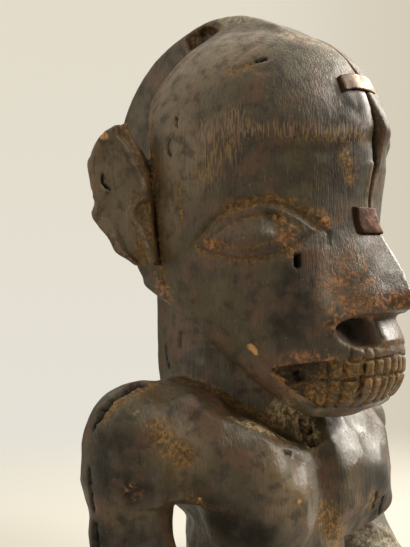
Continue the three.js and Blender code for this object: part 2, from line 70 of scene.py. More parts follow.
camera_data = bpy.data.cameras.new("camera")
camera_data.sensor_width = SENSOR
camera_data.lens = CAMERA_DISTANCE / MM_PER_PIXEL / IMAGE_HEIGHT * SENSOR
camera_data.clip_start = 0.01
camera = bpy.data.objects.new("camera", camera_data)
bpy.context.scene.collection.objects.link(camera)
camera.location = (aim + CAMERA_DISTANCE * towards_camera) * MM
camera.rotation_mode = "QUATERNION"
camera.rotation_quaternion = (-towards_camera).to_track_quat("-Z", "Y")
bpy.context.scene.camera = camera
print(f"lens {camera_data.lens:.1f} mm")

# %% [markdown]
# ## Describing carved wood by distances
# A log carved in one has no seams: nose, ears, neck and arms grow out of each other. Grids joined
# edge to edge would show seams, and subdivision cages smear the crisp cuts. So each form is
# written as a formula for how far a point lies outside it, in millimetres and below zero inside.
# Two forms are joined by taking the smaller value, or cut by taking the larger, and a small
# rounding between them gives the soft valley or edge that a blade and many hands leave.

# %% Joining and cutting
def joined(a, b, k):
    """The smaller of two distances, rounded over a passage k wide: min - (k - |a - b|)^2 / 4k."""
    h = np.maximum(k - np.abs(a - b), 0) / k
    return np.minimum(a, b) - h * h * k * 0.25


def trimmed(a, b, k):
    """The larger of two distances, rounded in the same way."""
    return -joined(-a, -b, k)


def ease(low, high, value):
    """0 up to low, 1 from high on, and 3t^2 - 2t^3 between them."""
    t = np.clip((value - low) / (high - low), 0, 1)
    return t * t * (3 - 2 * t)


def bump(value, width):
    """A soft hump of height 1: exp(-(value / width)^2)."""
    return np.exp(-np.square(value / width))


# %% [markdown]
# A carved head is easiest to describe by a few measured heights. A curve through them must not
# swing past them, or the cheek would bulge between two measures, so the cubic takes the harmonic
# mean of the two slopes at each knot, and no slope where the measures turn.

# %% Curves through measures
def curve(value, knots, measures):
    """Monotone cubic through the knots, read from a fine table."""
    knots = np.array(knots, float)
    measures = np.array(measures, float)
    steps = np.diff(measures) / np.diff(knots)
    before, after = steps[:-1], steps[1:]
    rising = before * after > 0
    slopes = np.concatenate([steps[:1], np.zeros(len(before)), steps[-1:]])
    slopes[1:-1][rising] = (2 * before * after)[rising] / (before + after)[rising]
    fine = np.linspace(knots[0], knots[-1], 800)
    k = np.clip(np.searchsorted(knots, fine, side="right") - 1, 0, len(knots) - 2)
    width = np.diff(knots)[k]
    t = (fine - knots[k]) / width
    ends = measures[k] * (1 + 2 * t) * (1 - t) ** 2 + measures[k + 1] * t * t * (3 - 2 * t)
    bend = width * t * (1 - t) * (slopes[k] * (1 - t) - slopes[k + 1] * t)
    return np.interp(value, fine, ends + bend).astype(np.float32)


# %% Simple solids
def ellipsoid(x, y, z, centre, radii):
    """Nearly the distance to an ellipsoid: q (q - 1) / |gradient| with q its own radius."""
    p = [(x - centre[0]) / radii[0], (y - centre[1]) / radii[1], (z - centre[2]) / radii[2]]
    near = np.sqrt(p[0] ** 2 + p[1] ** 2 + p[2] ** 2) + 1e-6
    steep = np.sqrt(sum((p[i] / radii[i]) ** 2 for i in range(3))) + 1e-9
    return near * (near - 1) / steep


def limb(x, y, z, start, end, radius_start, radius_end):
    """Distance to a rod from start to end whose radius changes evenly."""
    axis = np.subtract(end, start)
    along = (x - start[0]) * axis[0] + (y - start[1]) * axis[1] + (z - start[2]) * axis[2]
    t = np.clip(along / (axis @ axis), 0, 1)
    across = [v - start[i] - t * axis[i] for i, v in enumerate((x, y, z))]
    return np.sqrt(sum(c * c for c in across)) - (radius_start + (radius_end - radius_start) * t)


def block(x, y, z, centre, half, rounding):
    """Distance to a box with rounded edges."""
    q = [np.abs(v - centre[i]) - half[i] + rounding for i, v in enumerate((x, y, z))]
    outside = np.sqrt(sum(np.square(np.maximum(side, 0)) for side in q))
    inside = np.minimum(np.maximum(q[0], np.maximum(q[1], q[2])), 0)
    return outside + inside - rounding


def half_space(x, y, z, point, normal):
    """Distance in front of a plane."""
    n = np.array(normal, float) / np.linalg.norm(normal)
    return (x - point[0]) * n[0] + (y - point[1]) * n[1] + (z - point[2]) * n[2]


# %% [markdown]
# ## Noise
# Nothing carved by hand is exact. Smooth random numbers, the same on every run, bend the outlines,
# roughen the breaks and spread the dirt. They stand at the corners of a lattice and are blended
# between its corners, so one lattice spacing is the size of one bump.

# %% Noise
LATTICE = 32


def noise(p, size, seed):
    """Smooth noise from -1 to 1 at points p: random corner values blended by 3t^2 - 2t^3."""
    table = np.random.default_rng(seed).uniform(-1, 1, (LATTICE,) * 3).astype(np.float32)
    q = np.asarray(p, np.float32) / np.float32(size) + np.float32(seed % 17 + 0.37)
    corner = np.floor(q).astype(np.int32)
    t = q - corner
    t = t * t * (3 - 2 * t)
    total = np.zeros(len(q), np.float32)
    for dx in (0, 1):
        for dy in (0, 1):
            for dz in (0, 1):
                weight = 1.0
                for axis, d in enumerate((dx, dy, dz)):
                    weight = weight * (t[:, axis] if d else 1 - t[:, axis])
                i, j, k = ((corner + (dx, dy, dz)) % LATTICE).T
                total += weight * table[i, j, k]
    return total


def rough(p, size, seed, octaves=3):
    """Noise with finer and weaker noise added, each half as large."""
    return sum(noise(p, size / 2 ** i, seed + i) / 2 ** i for i in range(octaves))


# %% [markdown]
# ## The head
# Below its equator the head is one flat oval for each height, drawn by its front, back, half width
# and widest place. Above it the oval closes into a dome. The face is a plane a little below the
# dome's swell, and the hair stands back behind a groove. The underside of the jaw is a slope.

# %% Head measures
HEIGHTS = (66, 72, 76, 79, 83, 88, 95, 101, 107, 113, 120, 130, 140, 150, 163)
FRONT = (-34, -40, -48, -55, -60.3, -62.8, -63.6, -62.8, -60, -56.5, -52.5, -50.5, -49.5, -51.5, -55)
BACK = (-4, 6, 10, 12, 14, 15, 15, 15, 18, 29, 42, 47, 46.5, 44.5, 41)
HALF_WIDTH = (18, 23, 26, 28.5, 31, 33.2, 35.3, 37, 38.8, 40.6, 42.2, 43.5, 44, 44.7, 46)
WIDEST = (-33, -31, -29, -27, -22, -17, -12, -9, -6, -4, -3, -2, -1, -1, -1)
SQUARENESS = (2, 2, 2, 2, 2, 2, 2, 2, 2.1, 2.2, 2.3, 2.35, 2.4, 2.3, 2.1)
EQUATOR = 163
DOME = 53.5
FACE_EDGE = ((118, 124, 130, 141, 150, 163, 178, 190, 200), (9, 9.5, 10.5, 11.5, 12.5, 14, 19.3, 26.3, 40))
BROW_LINE = ((0, 12, 25, 38, 46), (177, 174, 171.5, 171.5, 172))


# %% Skull
def skull(x, y, z):
    """Distance to the head without features: r (1 - 1 / q), with q the oval's own radius."""
    side = np.abs(x)
    widest = curve(z, HEIGHTS, WIDEST)
    depth = y - widest
    behind = depth > 0
    reach = np.where(behind, curve(z, HEIGHTS, BACK) - widest, widest - curve(z, HEIGHTS, FRONT))
    n = np.where(behind, np.float32(1.95), curve(z, HEIGHTS, SQUARENESS))
    plan = ((side / curve(z, HEIGHTS, HALF_WIDTH)) ** n + (np.abs(depth) / reach) ** n) ** (1 / n)
    rise = np.maximum(z - EQUATOR, 0)
    b = 2 + 0.4 * ease(15, -25, depth)
    size = (plan ** b + (rise / DOME) ** b) ** (1 / b)
    d = np.sqrt(side ** 2 + depth ** 2 + rise ** 2) * (1 - 1 / np.maximum(size, 0.05))
    brow = curve(side, *BROW_LINE)
    d = d + 1.9 * ease(brow + 1.5, brow - 5, z) * ease(130, 158, z) * ease(-8, -24, y)
    return d + 2.6 * ease(-0.7, 0.9, y - curve(z, *FACE_EDGE)) * ease(120, 125, z)


# %% [markdown]
# ## The eyes
# Each eye is an almond cut a little into the cheek, with a raised rim and a low ball. A place on
# the face is given by its bearing from the middle line, so that the almond wraps round the cheek.

# %% Eyes
EYE_BEARING = 58
EYE_HALF_BEARING = 28.5
EYE_HEIGHT = 137.1
EYE_TILT = 2.8
LID_ABOVE = 12
LID_BELOW = 7.5
EYEBALL = ((33.1, -24.1, 137.2), (10.6, 11.5, 7.4))


def almond(x, y, z):
    """How far a point lies inside the almond's outline, and how far above its middle line."""
    bearing = np.degrees(np.arctan2(np.abs(x), -(y + 3)))
    a = (bearing - EYE_BEARING) / EYE_HALF_BEARING
    level = z - (EYE_HEIGHT - EYE_TILT * a)
    over = LID_ABOVE * (1 - np.abs(a) ** 1.9) - level
    under = LID_BELOW * (1 - np.abs(a) ** 1.7) + level
    return np.minimum(np.minimum(over, under), (1 - np.abs(a)) * 14), level


def with_eyes(d, x, y, z):
    """The cheek with the socket's valley, the lids swelling out of it, and the ball between them."""
    inside, level = almond(x, y, z)
    valley = 1.3 * bump(inside + 0.6, 1.9) * (0.6 + 0.4 * ease(-5, 4, level))
    folds = 0.45 * bump(inside - 2.7, 0.6) + 0.7 * bump(inside - 4.4, 0.7)
    d = d + valley + folds - 0.9 * ease(0.3, 2, inside)
    return joined(d, ellipsoid(np.abs(x), y, z, *EYEBALL), 1.2)


# %% [markdown]
# ## The mouth
# The mouth is a slot right round the jaw, shallow in front and hollow at its corners. On its floor
# stand two rows of teeth, parted by narrow grooves, and over the front ones a band of gum that ends
# in two knobs a side. Places along it are lengths along the oval of the lips from the middle.

# %% Mouth and teeth
LIP_TOP = (
    (0, 6, 11.8, 12.4, 22.3, 23, 26, 35, 45, 50, 52),
    (101, 100.4, 98.8, 100.6, 100.6, 96.2, 95.5, 94.6, 93.2, 92.4, 91),
)
LIP_LOW = ((0, 8, 19, 30, 36, 41, 46, 50, 52), (82, 80.6, 78.7, 78.6, 81, 84.5, 88.3, 91.6, 93))
BITE = ((0, 14, 19, 36, 50), (89.8, 89.4, 88.5, 88.4, 91))
GUM_LINE = ((0, 8, 16, 23), (96.7, 96, 94.9, 94.6))
MOUTH_DEPTH = ((0, 24, 31, 42, 48, 51), (0.7, 0.9, 3.6, 4.8, 3, 1))
TOOTH_EDGES = (-4, 0, 4, 7.8, 12.2, 17.5, 24, 28.6, 33.2, 38)
KNOB_EDGES = (12.2, 16.2, 22.4)
GROOVE_HALF = 0.8


def along_lips(x, y):
    """Length along the oval of the lips from the middle, from the oval's own angle."""
    angle = np.arctan2(np.abs(x) / 35, -(y + 12) / 50)
    return 44.5 * angle - 3.75 * np.sin(2 * angle)


def gap_to(value, places):
    """Distance to the nearest of several places."""
    return np.min([np.abs(value - place) for place in places], axis=0)


def with_mouth(d, x, y, z):
    """The head with the slot of the mouth cut, down to teeth parted by rounded grooves."""
    p = np.stack([x, y, z], 1)
    shake = 0.35 * noise(p, 5, 31)
    length = along_lips(x, y) + shake
    upper, lower = curve(length, *LIP_TOP), curve(length, *LIP_LOW)
    opening = np.minimum(upper - z, z - lower) + 0.5 * shake
    gum = curve(length, *GUM_LINE) - z + shake
    knobs = np.where(length > 12, gap_to(length, KNOB_EDGES), 9)
    upright = np.where(gum < 0, knobs, gap_to(length, TOOTH_EDGES))
    level = np.minimum(np.abs(z - curve(length, *BITE) + shake), np.abs(gum) + ease(22, 24, length) * 9)
    near_line = np.clip(1 - np.minimum(upright, level) / GROOVE_HALF, 0, 1)
    slope_in = 0.4 + 0.6 * np.clip((z - lower) / (upper - lower), 0, 1)
    sunk = curve(length, *MOUTH_DEPTH) * np.where(length > 26, slope_in, 1)
    grooves = (1.5 - 0.9 * ease(26, 34, length)) * near_line * (2 - near_line)
    cut = np.minimum(d + sunk + grooves, opening)
    lip = 0.5 * bump(z - lower + 2.2, 1.6) * ease(52, 46, length)
    return trimmed(d - lip, cut, 0.7)


# %% [markdown]
# ## The nose
# Seen from below the nose is a broad flat wedge. Three lines draw it from the brow to the tip: the
# crease against the cheek, the edge of its flat back, and the ridge. Under it are two hollows,
# with a boss between them that carries the upper lip.

# %% Nose
NOSE_HEIGHTS = (100, 109, 117, 124, 131, 140, 149, 158, 166)
CREASE_X = (22, 22, 22, 22, 21.5, 18.5, 13, 8, 4)
CREASE_Y = (-45, -45, -44.5, -43.5, -43, -44, -47.5, -50.5, -53)
EDGE_X = (15.5, 16, 15.5, 12.5, 9.5, 7, 5.5, 4.5, 3)
EDGE_Y = (-57, -58, -58.5, -58, -55.8, -52.5, -50.8, -51.5, -53.5)
RIDGE_Y = (-66, -67, -68.2, -65.5, -61.2, -55.6, -52.3, -52.8, -54)


def nose(x, y, z):
    """Distance to the wedge: a flank and a back, each the side of a line in plan, rounded."""
    side = np.abs(x)
    crease = [curve(z, NOSE_HEIGHTS, CREASE_X), curve(z, NOSE_HEIGHTS, CREASE_Y)]
    edge = [curve(z, NOSE_HEIGHTS, EDGE_X), curve(z, NOSE_HEIGHTS, EDGE_Y)]
    tip = [0 * edge[0], curve(z, NOSE_HEIGHTS, RIDGE_Y)]

    def beside(a, b):
        """Distance in plan in front of the line from a to b."""
        run, fall = b[0] - a[0], b[1] - a[1]
        return ((y - a[1]) * run - (side - a[0]) * fall) / np.sqrt(run * run + fall * fall)

    d = trimmed(beside(crease, edge), beside(edge, tip), 2.5)
    d = trimmed(d, half_space(x, y, z, (0, -67, 112.3), (0, -0.19, -1)), 1.5)
    return np.maximum(np.maximum(d, y + 36), np.maximum(z - 164, side - crease[0] - 5))


def nostrils(x, y, z):
    """Distance to the two hollows under the nose, sloping back."""
    side = np.abs(x)
    half_height = 4.8 - 2 * ease(15, 23, side)
    return block(side, y + 0.6 * (105 - z), z, (15.5, -56, 104.6), (7, 7, half_height), 2.6)


# %% [markdown]
# ## Crest and ears
# The crest is a half disc of hair standing on edge, with a piece broken out of its near side. The
# ears are flat flanges: an outline over the height, a dish inside it and a winding ridge.

# %% Crest
CREST_CENTRE = 165
CREST_REACH = (
    (-75, -60, -48, -30, -15, 0, 30, 45, 60, 75, 90, 100, 110, 120),
    (52, 52, 53.5, 56.5, 58.5, 59, 59.2, 59, 58.3, 58.3, 57.3, 55.2, 52.2, 47),
)
CREST_CHIP = ((-10, 14, 214.5), (6, 10, 6))


def crest(x, y, z):
    """Distance to a disc on edge whose radius changes round it, less the broken-out scoop."""
    up = z - CREST_CENTRE
    r = np.sqrt(y ** 2 + up ** 2)
    reach = curve(np.degrees(np.arctan2(up, y)), *CREST_REACH)
    thick = 9 - 1.5 * np.clip((r - 50) / 9, 0, 1)
    d = trimmed(r - reach, np.abs(x) - thick, 2)
    d = np.maximum(np.maximum(d, 30 - r), -(y + 35))
    ragged = 0.9 * rough(np.stack([x, y, z], 1), 4, 51)
    chip = ellipsoid(x, y, z, *CREST_CHIP)
    chip = np.maximum(chip, y - 24.3 - (z - 219) * 0.25)
    return trimmed(d, -(chip + ragged), 0.7)


# %% Ears
EAR_HEIGHTS = (126, 129.5, 133, 137, 142, 147, 151, 157, 164, 171, 175, 178, 180)
EAR_OUTER = (-10, -5.3, 0, 2.2, 6.2, 9.3, 8.4, 8.9, 10.2, 7.6, 4.6, -0.5, -4)
EAR_INNER = (-14.6, -14.4, -14, -13.6, -13, -12.6, -12.4, -12, -9.8, -6.4, -4, -3, -5)
EAR_RIDGE = (
    (129, 135, 141, 146, 148, 150.5, 152.5, 156, 164, 171, 175, 179),
    (-14.6, -11.8, -9, -6.3, -7, -9.6, -12.2, -11.4, -6.9, -2.8, 0, 0),
)


def ear(x, y, z):
    """Distance to both ears, in their own directions: along the flange and through it."""
    side, back = np.abs(x) - 52.5, y - 22
    along = side * 0.42 + back * 0.91
    through = side * 0.91 - back * 0.42
    p = np.stack([x, y, z], 1)
    gnawed = 1.6 * np.clip(rough(p, 5, 71), -0.2, 1) * ease(172, 160, z) * ease(2, 6, along)
    outer = curve(z, EAR_HEIGHTS, EAR_OUTER) - gnawed
    inner = curve(z, EAR_HEIGHTS, EAR_INNER)
    middle, half = (outer + inner) / 2, (outer - inner) / 2
    rim = np.maximum(np.abs(along - middle) - half, np.maximum(z - 179, 128 - z))
    inside = np.clip(1 - np.abs(along - middle) / np.maximum(half, 0.5), 0, 1)
    dish = 2.2 * ease(0.12, 0.7, inside) * ease(176, 168, z)
    from_ridge = along - curve(z, *EAR_RIDGE)
    upper = ease(153, 160, z)
    ridge = (2.4 - 1.6 * upper) * bump(from_ridge, 1.6) - (1.8 + 3 * upper) * ease(0, -1.5, from_ridge)
    d = trimmed(rim, through - (2.2 - dish + ridge), 1.2)
    root = through + 6.5 - 0.9 * np.minimum(along, 0)
    return trimmed(d, -root, 3)


# %% [markdown]
# ## Neck, shoulders, breasts and arms
# The body stands four degrees off the head, as the photograph shows, so it has its own
# coordinates. The shoulders are one rounded bar, with an under edge cut flat over the arms.

# %% Neck and trunk
BODY_TURN = math.radians(4)
NECK_Y = 4.5
NECK_BACK = ((50, 70, 88, 100, 140), (20, 25, 30, 31, 31))
WAIST_HEIGHTS = (-10, 0, 20, 36, 60)
WAIST_WIDTH = (32, 32, 31, 31, 36)
WAIST_DEPTH = (29, 29.5, 29, 28, 24)
SHOULDER_NEAR = 76.5
SHOULDER_FAR = 73
SHOULDER_HEIGHT = 62
SHOULDER_RISE = 26
LEDGE = ((0, 20, 32, 55, 70, 80), (36, 38, 42, 46.5, 46.5, 44))


def neck(x, y, z):
    """Distance to an upright column whose back leans in towards the shoulder blades."""
    depth = np.where(y > NECK_Y, curve(z, *NECK_BACK), 31)
    size = np.sqrt((x / 31) ** 2 + ((y - NECK_Y) / depth) ** 2)
    d = np.sqrt(x ** 2 + (y - NECK_Y) ** 2) * (1 - 1 / np.maximum(size, 0.05))
    return np.maximum(d, np.maximum(z - 128, 50 - z))


def turned(x, y):
    """The body's own coordinates: turned about the axis of the neck."""
    c, s = math.cos(BODY_TURN), math.sin(BODY_TURN)
    return x * c - (y - NECK_Y) * s, x * s + (y - NECK_Y) * c + NECK_Y


UPPER_CHEST = ((-38, -11, 62), (21, 21, 23))
SHOULDER_SLOPE = ((-32, -3, 84), (0, -0.41, 0.91))
FAR_DELTOID = ((61, -9, 63), (13, 13, 15))
CHEST_SLOPE = ((-42.5, -36.5, 71), (0.24, -0.34, 0.91))


def trunk(x, y, z):
    """Distance to shoulder bar, rounded shoulders, waist and upper back, in the body's frame."""
    side = np.abs(x)
    width = np.where(x < 0, SHOULDER_NEAR, SHOULDER_FAR)
    up = z - SHOULDER_HEIGHT
    bar = np.sqrt((side / width) ** 8 + ((y - 3.5) / 18.5) ** 2 + np.abs(up / SHOULDER_RISE) ** 3)
    reach = np.sqrt(np.maximum(side - 57, 0) ** 2 + (y - 3.5) ** 2 + up ** 2)
    d = reach * (1 - 1 / np.maximum(bar, 0.05))
    d = trimmed(d, half_space(x, y, z, *SHOULDER_SLOPE), 2.5)
    d = joined(d, ellipsoid(side, y, z, (width - 16, 3, 56), (16.5, 17, 24)), 8)
    d = joined(d, ellipsoid(x, y, z, *FAR_DELTOID), 6)
    chest = trimmed(ellipsoid(x, y, z, *UPPER_CHEST), half_space(x, y, z, *CHEST_SLOPE), 2)
    d = joined(d, chest, 10)
    ledge = curve(side, *LEDGE) - 11 * ease(-6, 8, y) * ease(60, 70, side)
    d = np.where(side > 22, trimmed(d, ledge - z, 1.5), d)
    width, depth = curve(z, WAIST_HEIGHTS, WAIST_WIDTH), curve(z, WAIST_HEIGHTS, WAIST_DEPTH)
    size = np.sqrt((x / width) ** 2 + ((y + 8) / depth) ** 2)
    waist = np.sqrt(x ** 2 + (y + 8) ** 2) * (1 - 1 / np.maximum(size, 0.05))
    d = joined(d, np.maximum(waist, z - 62), 8)
    return joined(d, ellipsoid(x, y, z, (0, 7, 62), (46, 18, 24)), 3)


# %% Breasts
NEAR_BREAST = {
    "centre": (-26.6, -20.7),
    "radius": ((17, 20, 24, 28.5, 36, 43, 50, 57, 64, 70, 74, 77),
               (0.5, 7.5, 12, 15.5, 19.3, 20.7, 21, 20.4, 18.5, 15, 10, 0.5)),
    "facets": (((0.24, -0.34, 0.91), 19.2), ((0.03, -0.93, 0.36), 19.2)),
}
FAR_BREAST = {
    "centre": (22, -24),
    "radius": ((25, 27, 29, 32, 36, 43, 50, 57, 65, 73, 80, 86),
               (0.5, 15, 22, 25.5, 27, 27, 26, 25, 24, 21, 15, 0.5)),
    "facets": (((-0.05, -0.82, 0.57), 19), ((-0.15, -0.98, 0.05), 19.5), ((0.35, -0.93, 0.1), 21.2),
               ((0, -0.8, -0.6), 21.2)),
}
BREAST_MIDDLE = 50


def breast(x, y, z, form):
    """Distance to a form that is round in plan, by its radius at each height, cut by planes."""
    cx, cy = form["centre"]
    heights = form["radius"][0]
    radius = curve(z, *form["radius"])
    stretch = np.where(y < cy, 1.07, 0.9)
    size = np.sqrt((x - cx) ** 2 + ((y - cy) / stretch) ** 2) / radius
    d = np.sqrt((x - cx) ** 2 + (y - cy) ** 2) * (1 - 1 / np.maximum(size, 0.05)) * 0.9
    d = np.maximum(d, np.maximum(heights[0] - z, z - heights[-1]))
    for normal, distance in form["facets"]:
        d = trimmed(d, half_space(x, y, z, (cx, cy, BREAST_MIDDLE), normal) - distance, 2.5)
    return d


# %% Arms
def arms(x, y, z):
    """Distance to both arms: two limbs each, forward from the elbow, in the body's frame."""
    side = np.abs(x)
    near = joined(
        limb(side, y, z, (62, 3, 50), (63, 2.5, 33), 14.5, 13.5),
        limb(side, y, z, (63, 2.5, 33), (66.5, -20, 0), 13.5, 14),
        3,
    )
    far = joined(
        limb(side, y, z, (62, 4, 50), (64.5, -3, 25), 14.5, 13.5),
        limb(side, y, z, (64.5, -3, 25), (66, -20, -2), 13.5, 14),
        3,
    )
    return np.where(x < 0, near, far)


# %% [markdown]
# ## The crack
# The log dried and split down the middle of the forehead. The split is widest over the brow,
# where its far lip stands out, and thins to a hair line on the crown.

# %% Crack
CRACK_X = ((146, 160, 168, 175, 185, 195, 214), (0.8, 1.2, 1.8, 1.2, 0.4, 0, 0.5))
CRACK_WIDTH = (
    (146, 153, 160, 168, 174, 178, 184, 195, 214),
    (2, 2.1, 2.5, 3, 2.8, 2.1, 1.6, 1.2, 0.9),
)
CRACK_DEPTH = 13
FAR_LIP = 2.6


def with_crack(d, x, y, z):
    """The head with the wedge of the crack cut: wide at the skin, narrow at its bottom."""
    p = np.stack([x, y, z], 1)
    wander = 0.5 * noise(p, 7, 91) + 0.25 * noise(p, 2.5, 92)
    deep = np.clip(1 + d / CRACK_DEPTH, 0, 1.2)
    half = curve(z, *CRACK_WIDTH) * 0.5 * (0.3 + 0.85 * deep)
    beside = x - curve(z, *CRACK_X) + wander
    d = d - FAR_LIP * bump(z - 176, 10) * ease(0.5, 2, beside) * ease(14, 5, beside)
    wedge = np.maximum(np.abs(beside) - half, -CRACK_DEPTH - d)
    angle = np.degrees(np.arctan2(z - 150, -(y + 8)))
    wedge = np.maximum(wedge, np.maximum(-4 - angle, angle - 74) * 0.8)
    return trimmed(d, -wedge, 0.9)


# %% [markdown]
# ## The whole carving
# The forms are joined from the top down. A wide passage makes the soft slope from neck to
# shoulder, and narrow ones keep the crisp valley round an ear or under the jaw. The last step is
# the flat cut that the bust stands on.

# %% Whole carving
NEAR_SKIN = 5.5
JAW_POINT = (0, -40, 74)
JAW_NORMAL = (0, 0.78, -1)


def changed(d, where, change, x, y, z):
    """The distances after a change that matters only at some of the points."""
    some = np.flatnonzero(where)
    d = np.array(d)
    d[some] = change(d[some], x[some], y[some], z[some])
    return d


def head(x, y, z):
    """Distance to the head with all its features."""
    d = skull(x, y, z)
    close = (np.abs(d) < NEAR_SKIN + 8) & (y < 0)
    d = changed(d, close & (np.abs(z - EYE_HEIGHT) < 20), with_eyes, x, y, z)
    d = changed(d, close & (y < -12) & (np.abs(z - 90) < 18), with_mouth, x, y, z)
    bent = np.minimum(y, 5 + 0.62 * (y - 5))
    d = trimmed(d, half_space(x, bent, z, JAW_POINT, JAW_NORMAL), 4)
    d = joined(d, crest(x, y, z), 1.5 + 7 * ease(22, 4, y) * ease(200, 210, z))
    d = joined(d, nose(x, y, z), 1.5)
    d = trimmed(d, -nostrils(x, y, z), 2.5)
    d = changed(d, close & (z > 140) & (np.abs(x) < 20), with_crack, x, y, z)
    return joined(d, ear(x, y, z), 1.5)


def carving(x, y, z):
    """Distance to the whole bust: positive outside the wood, negative inside."""
    bx, by = turned(x, y)
    breasts = joined(breast(x, y, z, NEAR_BREAST), breast(x, y, z, FAR_BREAST), 2.5)
    body = joined(trunk(bx, by, z), breasts, 6)
    body = joined(body, arms(bx, by, z), 1.5)
    body = joined(neck(x, y, z), body, 2 + 5 * ease(8, 25, y))
    return np.maximum(joined(head(x, y, z), body, 1.5), -z)


# %% [markdown]
# ## From distances to a mesh
# The skin is where the distance is zero. The space is cut into small cubes, each cube that the
# skin passes through gets one point, and the four cubes round each crossed edge make one face:
# surface nets. Only cubes near the skin are worked out. The points are then drawn exactly onto
# the skin along its own slope.

# %% Sample the space
LOW = np.array([-90.0, -78.0, -4.0])
HIGH = np.array([90.0, 68.0, 230.0])
CUBE = 0.8
COARSE = 4


def sample(field):
    """Distances on the fine lattice near the skin, and those of the coarse one elsewhere."""
    counts = np.ceil((HIGH - LOW) / (CUBE * COARSE)).astype(int)
    half = (COARSE - 1) / 2
    coarse = [LOW[i] + CUBE * (COARSE * np.arange(counts[i]) + half) for i in range(3)]
    grid = np.meshgrid(*[c.astype(np.float32) for c in coarse], indexing="ij")
    rough_values = field(*[g.ravel() for g in grid]).reshape(grid[0].shape)
    values = rough_values.astype(np.float32)
    for axis in range(3):
        values = np.repeat(values, COARSE, axis)
    near = np.argwhere(np.abs(values) < NEAR_SKIN)
    where = (LOW + CUBE * near).astype(np.float32).T
    values[tuple(near.T)] = field(*where)
    return values


# %% Surface nets
def surface_nets(values):
    """One point a crossed cube, the mean of its edges' crossings, and one face a crossed edge."""
    inside = values < 0
    shape = np.array(values.shape) - 1
    corners = np.zeros(shape, np.uint8)
    for offset in np.ndindex(2, 2, 2):
        corners += inside[tuple(slice(o, o + n) for o, n in zip(offset, shape))]
    crossed = (corners > 0) & (corners < 8)
    cubes = np.argwhere(crossed)
    number = np.full(shape, -1, np.int32)
    number[crossed] = np.arange(len(cubes))
    total = np.zeros((len(cubes), 3))
    count = np.zeros(len(cubes))
    faces = []
    for axis in range(3):
        u, v = [other for other in range(3) if other != axis]
        for a, b in np.ndindex(2, 2):
            start = cubes.copy()
            start[:, u] += a
            start[:, v] += b
            end = start.copy()
            end[:, axis] += 1
            f0, f1 = values[tuple(start.T)], values[tuple(end.T)]
            cross = (f0 < 0) != (f1 < 0)
            point = np.zeros((len(cubes), 3))
            point[:, u], point[:, v] = a, b
            point[:, axis] = np.where(cross, f0 / np.where(cross, f0 - f1, 1), 0)
            total += point * cross[:, None]
            count += cross
        faces.append(edge_faces(inside, number, axis, u, v))
    points = LOW + CUBE * (cubes + total / count[:, None])
    return points, np.concatenate(faces)


def edge_faces(inside, number, axis, u, v):
    """The four cubes round each crossed lattice edge along one axis, wound to face outwards."""
    start = [slice(1, -1)] * 3
    end = [slice(1, -1)] * 3
    start[axis], end[axis] = slice(0, -1), slice(1, None)
    first, second = inside[tuple(start)], inside[tuple(end)]
    edges = np.argwhere(first != second)
    outward = first[tuple(edges.T)] ^ (axis == 1)
    base = edges.copy()
    base[:, u] += 1
    base[:, v] += 1
    ring = []
    for du, dv in ((-1, -1), (0, -1), (0, 0), (-1, 0)):
        cube = base.copy()
        cube[:, u] += du
        cube[:, v] += dv
        ring.append(number[tuple(cube.T)])
    quads = np.stack(ring, 1)
    quads[~outward] = quads[~outward][:, ::-1]
    return quads


# %% Draw the points onto the skin
def slope(field, p, step=0.35):
    """The field's gradient at points p, from differences over a small step each way."""
    g = np.zeros(p.shape)
    for axis in range(3):
        shift = np.zeros(3)
        shift[axis] = step
        g[:, axis] = (field(*(p + shift).T) - field(*(p - shift).T)) / (2 * step)
    return g


def settle(field, p):
    """Each point moved by distance / slope^2 along the slope, at most half a cube."""
    g = slope(field, p)
    push = field(*p.T) / np.maximum((g * g).sum(1), 0.3)
    outward = g / np.maximum(np.linalg.norm(g, axis=1), 1e-6)[:, None]
    return p - g * np.clip(push, -CUBE / 2, CUBE / 2)[:, None], outward


points, quads = surface_nets(sample(carving))
points, outward = settle(carving, points.astype(np.float32))
print(f"skin: {len(points)} points, {len(quads)} faces")

# %% [markdown]
# ## Marks of tools, drying and age
# The small losses are real hollows, so they are cut into the points and not only painted. Each
# mark is a line over the skin with a width and a depth. A crack is a narrow V that wanders, a dent
# a soft hollow, and a chip a shallow scoop with a rough floor. Their places are those of the
# photograph: most were picked in the picture, brought onto the form along the camera's ray and
# rounded to half a millimetre. The script then draws each line onto the skin.

